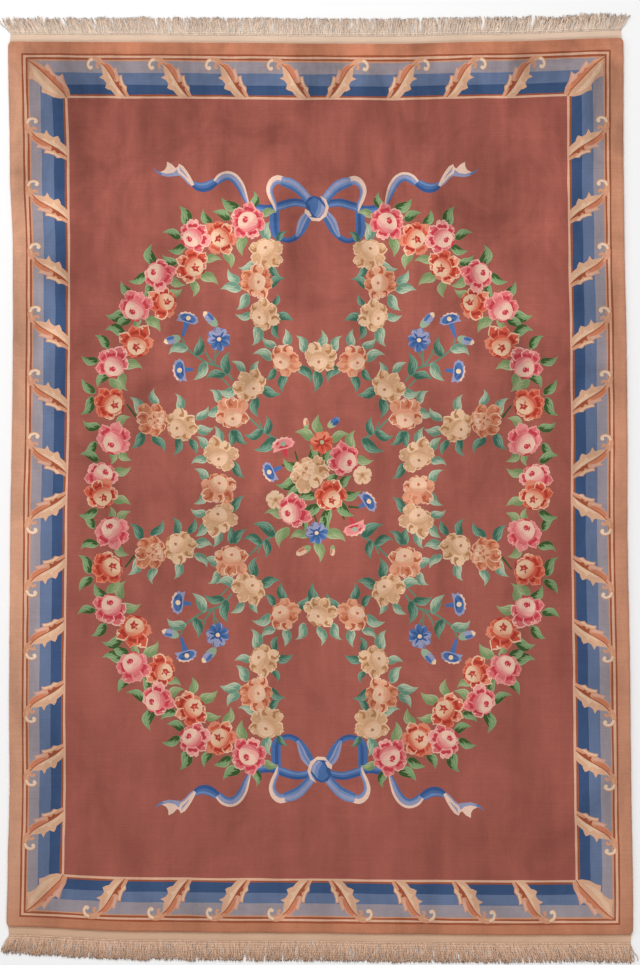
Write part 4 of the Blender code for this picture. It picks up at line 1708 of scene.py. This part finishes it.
def end_band(name, end, finish):
    low_x, high_x = reach_of_side(end, -1) + BAND_INSET, reach_of_side(end, 1) - BAND_INSET
    columns = round((high_x - low_x) / KNOT_PITCH) * COLUMNS_PER_WARP
    shares = [row / WEFT_ROWS for row in range(WEFT_ROWS + 1)]
    cotton = np.array([to_linear(v) for v in BAND_COTTON[end]])
    places, faces, colours = [], [], []
    for column in range(columns + 1):
        x = low_x + (high_x - low_x) * column / columns
        side = (2 * x - low_x - high_x) / (high_x - low_x)
        start = base_line(end, x) + end * PART_GAP
        warp, turn = divmod(column, COLUMNS_PER_WARP)
        over = math.sin(math.pi * turn / COLUMNS_PER_WARP) * (1 if warp % 2 else -1)
        section = [(0.0, 0.0)]
        for row, share in enumerate(shares):
            lift = WEAVE_DEPTH * over * (1 if row // 2 % 2 else -1)
            section.append((share, read_along(BAND_HEIGHT, share, 1) + lift))
        section.append((1.0, 0.0))
        for share, height in section:
            places.append((x - side * BAND_TAPER * share, start + end * BAND_DEPTH * share, height))
    ring_size = len(shares) + 2
    for column in range(columns):
        low, high = column * ring_size, (column + 1) * ring_size
        own = 1 + BAND_COTTON_SPREAD * noise.noise(Vector((column * 0.011, end * 5.0, 0.0)))
        for n in range(ring_size):
            after = (n + 1) % ring_size
            faces.append((low + n, low + after, high + after, high + n))
            colours.append(cotton * own)
    faces.append(tuple(range(ring_size - 1, -1, -1)))
    faces.append(tuple(range(columns * ring_size, (columns + 1) * ring_size)))
    colours += [cotton, cotton]
    if end > 0:
        faces = [tuple(reversed(face)) for face in faces]
    band = mesh_piece(name, places, faces, colours, finish)
    band.data.set_sharp_from_angle(angle=math.radians(BAND_SHARP_DEG))
    return band


def flat_weave():
    finish, tree, shader = cloth_finish("flat-woven cotton", 0.85)
    slubs = spread(tree, speckle(tree, (18.0, 520.0, 1.0), 3.0), 0.3, 0.7, 0.93, 1.05)
    soil = spread(tree, speckle(tree, (9.0, 9.0, 1.0), 4.0), 0.3, 0.7, 0.94, 1.05)
    tint(tree, shader, yarn_colour(tree), times(tree, slubs, soil))
    roughen(tree, shader, speckle(tree, (900.0, 1500.0, 900.0), 2.0), 0.4, 0.0002)
    return finish


band_finish = flat_weave()
end_bands = {end: end_band(name, end, band_finish) for name, end in (("band_head", 1), ("band_foot", -1))}
for band in end_bands.values():
    print(band.name, len(band.data.polygons), "faces")

# %% [markdown]
# Behind the band the warps are tied off in small knots and hang free. There are hundreds of
# them and all are alike, which suits Geometry Nodes: one cord is made once and set on
# each root, then every copy bends its own way, twists and thins towards its tip. The
# roots carry which way each warp end leans and how long it is, because they were combed by
# hand and lie in tufts.

# %% Roots of the warp ends
ROOTS = {1: 1200, -1: 1500}
KNOT_STRIP_DEPTH = 0.005
FRINGE_LENGTH = {1: 0.0508, -1: 0.0560}
FRINGE_SEED = {1: 11, -1: 23}
LENGTH_SPREAD = 0.055
LEAN_SPREAD_DEG = 7.5
TUFT_SIZE = 0.030
TUFT_LEAN_DEG = 6.5
FRINGE_LEAN = (
    # across, head, foot: degrees towards +X
    (-0.91, -34.0, -30.0),
    (-0.84, -26.0, -16.0),
    (-0.66, -20.0, -5.0),
    (-0.40, -6.0, 4.0),
    (0.00, 3.0, -3.0),
    (0.30, 2.0, 5.0),
    (0.55, 16.0, 14.0),
    (0.72, 24.0, 28.0),
    (0.84, 14.0, 12.0),
    (0.91, 30.0, 10.0),
)
GAPS_IN_FRINGE = {1: (-0.095, 0.552), -1: (-0.325, -0.072, -0.018)}
GAP_WIDTH = 0.004


def roots_of_fringe(end):
    """A mesh of bare points, one for each warp end, with its lean, its length and its layer."""
    chance = random.Random(FRINGE_SEED[end])
    inset = BAND_INSET + BAND_TAPER
    low_x, high_x = reach_of_side(end, -1) + inset, reach_of_side(end, 1) - inset
    places, leans, reaches, layers, tied = [], [], [], [], []
    for n in range(ROOTS[end]):
        x = low_x + (high_x - low_x) * (n + 0.5) / ROOTS[end]
        if any(abs(x - gap) < GAP_WIDTH / 2 for gap in GAPS_IN_FRINGE[end]):
            continue
        y = base_line(end, x) + end * (BAND_DEPTH + 2 * PART_GAP + KNOT_STRIP_DEPTH * 0.5)
        tuft = noise.noise(Vector((x / TUFT_SIZE, end * 9.0, 0.0)))
        lean = read_along(FRINGE_LEAN, x, 1 if end > 0 else 2)
        lean += tuft * TUFT_LEAN_DEG * 2 + chance.gauss(0, 1) * LEAN_SPREAD_DEG
        tall = noise.noise(Vector((x / TUFT_SIZE * 0.6, end * 4.0, 2.0)))
        reach = 1 + 0.07 * tall + chance.uniform(-1, 1) * LENGTH_SPREAD
        places.append((x, y, 0.0))
        leans.append(-math.radians(lean) if end > 0 else math.pi + math.radians(lean))
        reaches.append(reach)
        layers.append(chance.random())
        tied.append(float(n % 3 == 0))
    mesh = bpy.data.meshes.new("roots")
    mesh.from_pydata(places, [], [])
    for name, values in (("lean", leans), ("reach", reaches), ("own", layers), ("tied", tied)):
        mesh.attributes.new(name, "FLOAT", "POINT").data.foreach_set("value", values)
    roots = bpy.data.objects.new("roots", mesh)
    bpy.context.scene.collection.objects.link(roots)
    return roots


# %% One tree for the fringe
CORD_STATIONS = 9
CORD_SIDES = 5
CORD_THICKNESS = 0.0040
CORD_TURNS = 3.2
CORD_BEND = 0.0115
CORD_LIFT = 0.0048
KNOT_SIZE = 0.0022
FLOOR_CLEAR = 0.0003


def fringe_tree():
    tree = bpy.data.node_groups.new("warp ends", "GeometryNodeTree")
    sockets = tree.interface
    sockets.new_socket("Roots", in_out="INPUT", socket_type="NodeSocketGeometry")
    for name in ("Length", "Thickness", "Turns", "Bend", "Lift", "Knot"):
        sockets.new_socket(name, in_out="INPUT", socket_type="NodeSocketFloat")
    sockets.new_socket("Seed", in_out="INPUT", socket_type="NodeSocketInt")
    sockets.new_socket("Yarn", in_out="INPUT", socket_type="NodeSocketMaterial")
    sockets.new_socket("Fringe", in_out="OUTPUT", socket_type="NodeSocketGeometry")
    given = tree.nodes.new("NodeGroupInput").outputs

    def make(kind, **inputs):
        return node(tree, kind, **inputs)

    def value(operation, *operands):
        return figure(tree, operation, *operands)

    def read(name):
        return make("GeometryNodeInputNamedAttribute", data_type="FLOAT", Name=name).outputs["Attribute"]

    def turned_about_z(angle):
        euler = make("ShaderNodeCombineXYZ", Z=angle).outputs["Vector"]
        return make("FunctionNodeEulerToRotation", Euler=euler).outputs["Rotation"]

    # one straight cord, copied to every root, turned to its lean and drawn to its length
    tip = make("ShaderNodeCombineXYZ", Y=given["Length"]).outputs["Vector"]
    line = make("GeometryNodeCurvePrimitiveLine", End=tip).outputs["Curve"]
    line = make("GeometryNodeResampleCurve", Curve=line, Count=CORD_STATIONS).outputs["Curve"]
    scale = make("ShaderNodeCombineXYZ", X=1.0, Y=read("reach"), Z=1.0).outputs["Vector"]
    cords = make(
        "GeometryNodeInstanceOnPoints", Points=given["Roots"], Instance=line,
        Rotation=turned_about_z(read("lean")), Scale=scale,
    ).outputs["Instances"]
    cords = make("GeometryNodeRealizeInstances", Geometry=cords).outputs["Geometry"]
    share = make("GeometryNodeSplineParameter").outputs["Factor"]
    cords = make(
        "GeometryNodeStoreNamedAttribute", data_type="FLOAT", domain="POINT", Geometry=cords, Name="share",
        Value=share,
    ).outputs["Geometry"]

    # each copy bends its own way, more towards its tip, and lies over or under its neighbours
    own = value("MULTIPLY", read("own"), 40.0)
    where = value("ADD", value("MULTIPLY", share, 1.6), own)
    where = value("ADD", where, value("MULTIPLY", given["Seed"], 7.0))
    sway = make("ShaderNodeTexNoise", noise_dimensions="1D", W=where, Scale=1.0, Detail=1.0).outputs["Fac"]
    sway = value("MULTIPLY", value("SUBTRACT", sway, 0.5), value("MULTIPLY", given["Bend"], 2.0))
    sway = value("MULTIPLY", sway, value("POWER", share, 1.3))
    lift = value("MULTIPLY", read("own"), given["Lift"])
    lift = value("MULTIPLY", lift, value("SINE", value("MULTIPLY", share, 2.6)))
    lift = value("ADD", lift, value("ADD", value("MULTIPLY", given["Thickness"], 0.5), FLOOR_CLEAR))
    shift = make("ShaderNodeCombineXYZ", X=sway, Z=lift).outputs["Vector"]
    cords = make("GeometryNodeSetPosition", Geometry=cords, Offset=shift).outputs["Geometry"]
    tilt_angle = value("MULTIPLY", value("MULTIPLY", share, given["Turns"]), math.tau)
    tilt_angle = value("ADD", tilt_angle, own)
    cords = make("GeometryNodeSetCurveTilt", Curve=cords, Tilt=tilt_angle).outputs["Curve"]
    thin = value("SUBTRACT", 1.0, value("MULTIPLY", value("POWER", share, 6.0), 0.35))
    cords = make("GeometryNodeSetCurveRadius", Curve=cords, Radius=thin).outputs["Curve"]

    # two plies side by side make a section like a figure of eight
    half = value("MULTIPLY", given["Thickness"], 0.5)
    section = make("GeometryNodeCurvePrimitiveCircle", Resolution=CORD_SIDES, Radius=half).outputs["Curve"]
    plies = make("ShaderNodeCombineXYZ", X=1.0, Y=0.62, Z=1.0).outputs["Vector"]
    section = make("GeometryNodeTransform", Geometry=section, Scale=plies).outputs["Geometry"]
    solid = make("GeometryNodeCurveToMesh", Curve=cords, Profile_Curve=section, Fill_Caps=True)
    if "Scale" in solid.inputs:
        tree.links.new(make("GeometryNodeInputRadius").outputs["Radius"], solid.inputs["Scale"])

    # the knots that hold the last weft
    ball = make("GeometryNodeMeshIcoSphere", Radius=given["Knot"], Subdivisions=2).outputs["Mesh"]
    squash = make("ShaderNodeCombineXYZ", X=1.0, Y=1.25, Z=0.85).outputs["Vector"]
    raised = make("ShaderNodeCombineXYZ", Z=value("MULTIPLY", given["Knot"], 0.95)).outputs["Vector"]
    seats = make("GeometryNodeSetPosition", Geometry=given["Roots"], Offset=raised).outputs["Geometry"]
    knots = make(
        "GeometryNodeInstanceOnPoints", Points=seats, Selection=read("tied"), Instance=ball,
        Rotation=turned_about_z(own), Scale=squash,
    ).outputs["Instances"]

    joined = make("GeometryNodeJoinGeometry")
    tree.links.new(solid.outputs["Mesh"], joined.inputs[0])
    tree.links.new(knots, joined.inputs[0])
    real = make("GeometryNodeRealizeInstances", Geometry=joined.outputs["Geometry"]).outputs["Geometry"]
    dressed = make("GeometryNodeSetMaterial", Geometry=real, Material=given["Yarn"]).outputs["Geometry"]
    result = tree.nodes.new("NodeGroupOutput")
    tree.links.new(dressed, result.inputs["Fringe"])
    return tree


def grow_fringe(name, end, tree, finish):
    roots = roots_of_fringe(end)
    modifier = roots.modifiers.new("warp ends", "NODES")
    modifier.node_group = tree
    sizes = {
        "Length": FRINGE_LENGTH[end], "Thickness": CORD_THICKNESS, "Turns": CORD_TURNS, "Bend": CORD_BEND,
        "Lift": CORD_LIFT, "Knot": KNOT_SIZE, "Seed": FRINGE_SEED[end], "Yarn": finish,
    }
    for socket in tree.interface.items_tree:
        if socket.in_out == "INPUT" and socket.name in sizes:
            modifier[socket.identifier] = sizes[socket.name]
    depsgraph = bpy.context.evaluated_depsgraph_get()
    depsgraph.update()
    mesh = bpy.data.meshes.new_from_object(roots.evaluated_get(depsgraph), depsgraph=depsgraph)
    mesh.name = name
    mesh.shade_smooth()
    bpy.data.objects.remove(roots)
    fringe = bpy.data.objects.new(name, mesh)
    bpy.context.scene.collection.objects.link(fringe)
    return fringe


# %% [markdown]
# Cotton warps are off-white and take up dust, most of all at their tips, where the ply has
# opened. At the foot the cotton is browner and darker, most at the tips, partly as painted
# shadow between the cords, and each cord is a shade lighter or darker, partly as painted shadow
# among its neighbours. The colour follows two values that the tree left on the mesh: how far
# along its cord a point is, and which cord it is on.

# %% Cotton of the fringe
# how dark and light each cord may be: painted shadow between the cords, with their uneven tone
CORD_SHADOW_AND_TONE = (0.80, 1.06)
# clean and dusty cotton at each end; the foot's is browner and darker: painted shadow between its cords
# besides dust
FRINGE_COTTON = {1: ((255, 234, 214), (242, 210, 186)), -1: ((244, 206, 178), (216, 174, 144))}


def cord_cotton(end):
    finish, tree, shader = cloth_finish("warp cotton head" if end > 0 else "warp cotton foot", 0.88)
    clean, dusty_and_shaded = [(*(to_linear(v) for v in colour), 1) for colour in FRINGE_COTTON[end]]
    share = node(tree, "ShaderNodeAttribute", attribute_name="share").outputs["Fac"]
    own = node(tree, "ShaderNodeAttribute", attribute_name="own").outputs["Fac"]
    shuffled = figure(tree, "FRACT", times(tree, own, 37.0))
    patches = speckle(tree, (14.0, 14.0, 1.0), 2.0)
    # darker towards the tips: dust, and at the foot also painted shadow between the cords
    dust = figure(tree, "MULTIPLY_ADD", figure(tree, "POWER", share, 2.2), 0.55, times(tree, patches, 0.35))
    mixed = node(tree, "ShaderNodeMix", data_type="RGBA", Factor=dust)
    colour_a, colour_b = [s for s in mixed.inputs if s.type == "RGBA"]
    colour_a.default_value, colour_b.default_value = clean, dusty_and_shaded
    blended = [s for s in mixed.outputs if s.type == "RGBA"][0]
    fibres = speckle(tree, (700.0, 700.0, 700.0), 2.0)
    shades = spread(tree, shuffled, 0.0, 1.0, *CORD_SHADOW_AND_TONE)
    tint(tree, shader, blended, times(tree, shades, spread(tree, fibres, 0.3, 0.7, 0.9, 1.06)))
    roughen(tree, shader, fibres, 0.5, 0.0003)
    return finish


warp_ends = fringe_tree()
fringes = {}
for name, end in (("warp_ends_head", 1), ("warp_ends_foot", -1)):
    fringes[end] = grow_fringe(name, end, warp_ends, cord_cotton(end))
    print(name, len(fringes[end].data.polygons), "faces")

# %% [markdown]
# The rug has no joint, so all of it rides on the one body. Each piece takes the place of
# the plain solid below it.

# %% Fitting to the frame
for piece in (wool_pile, woven_base, *end_bands.values(), *fringes.values()):
    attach(piece, "root")
for piece in (wool_pile, woven_base):
    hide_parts("pile_carpet")
for end, word in ((1, "head"), (-1, "foot")):
    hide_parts(f"end_band_{word}")
    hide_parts(f"fringe_{word}")
for end, band in end_bands.items():
    wide = reach_of_side(end, 1) - reach_of_side(end, -1) - 2 * BAND_INSET
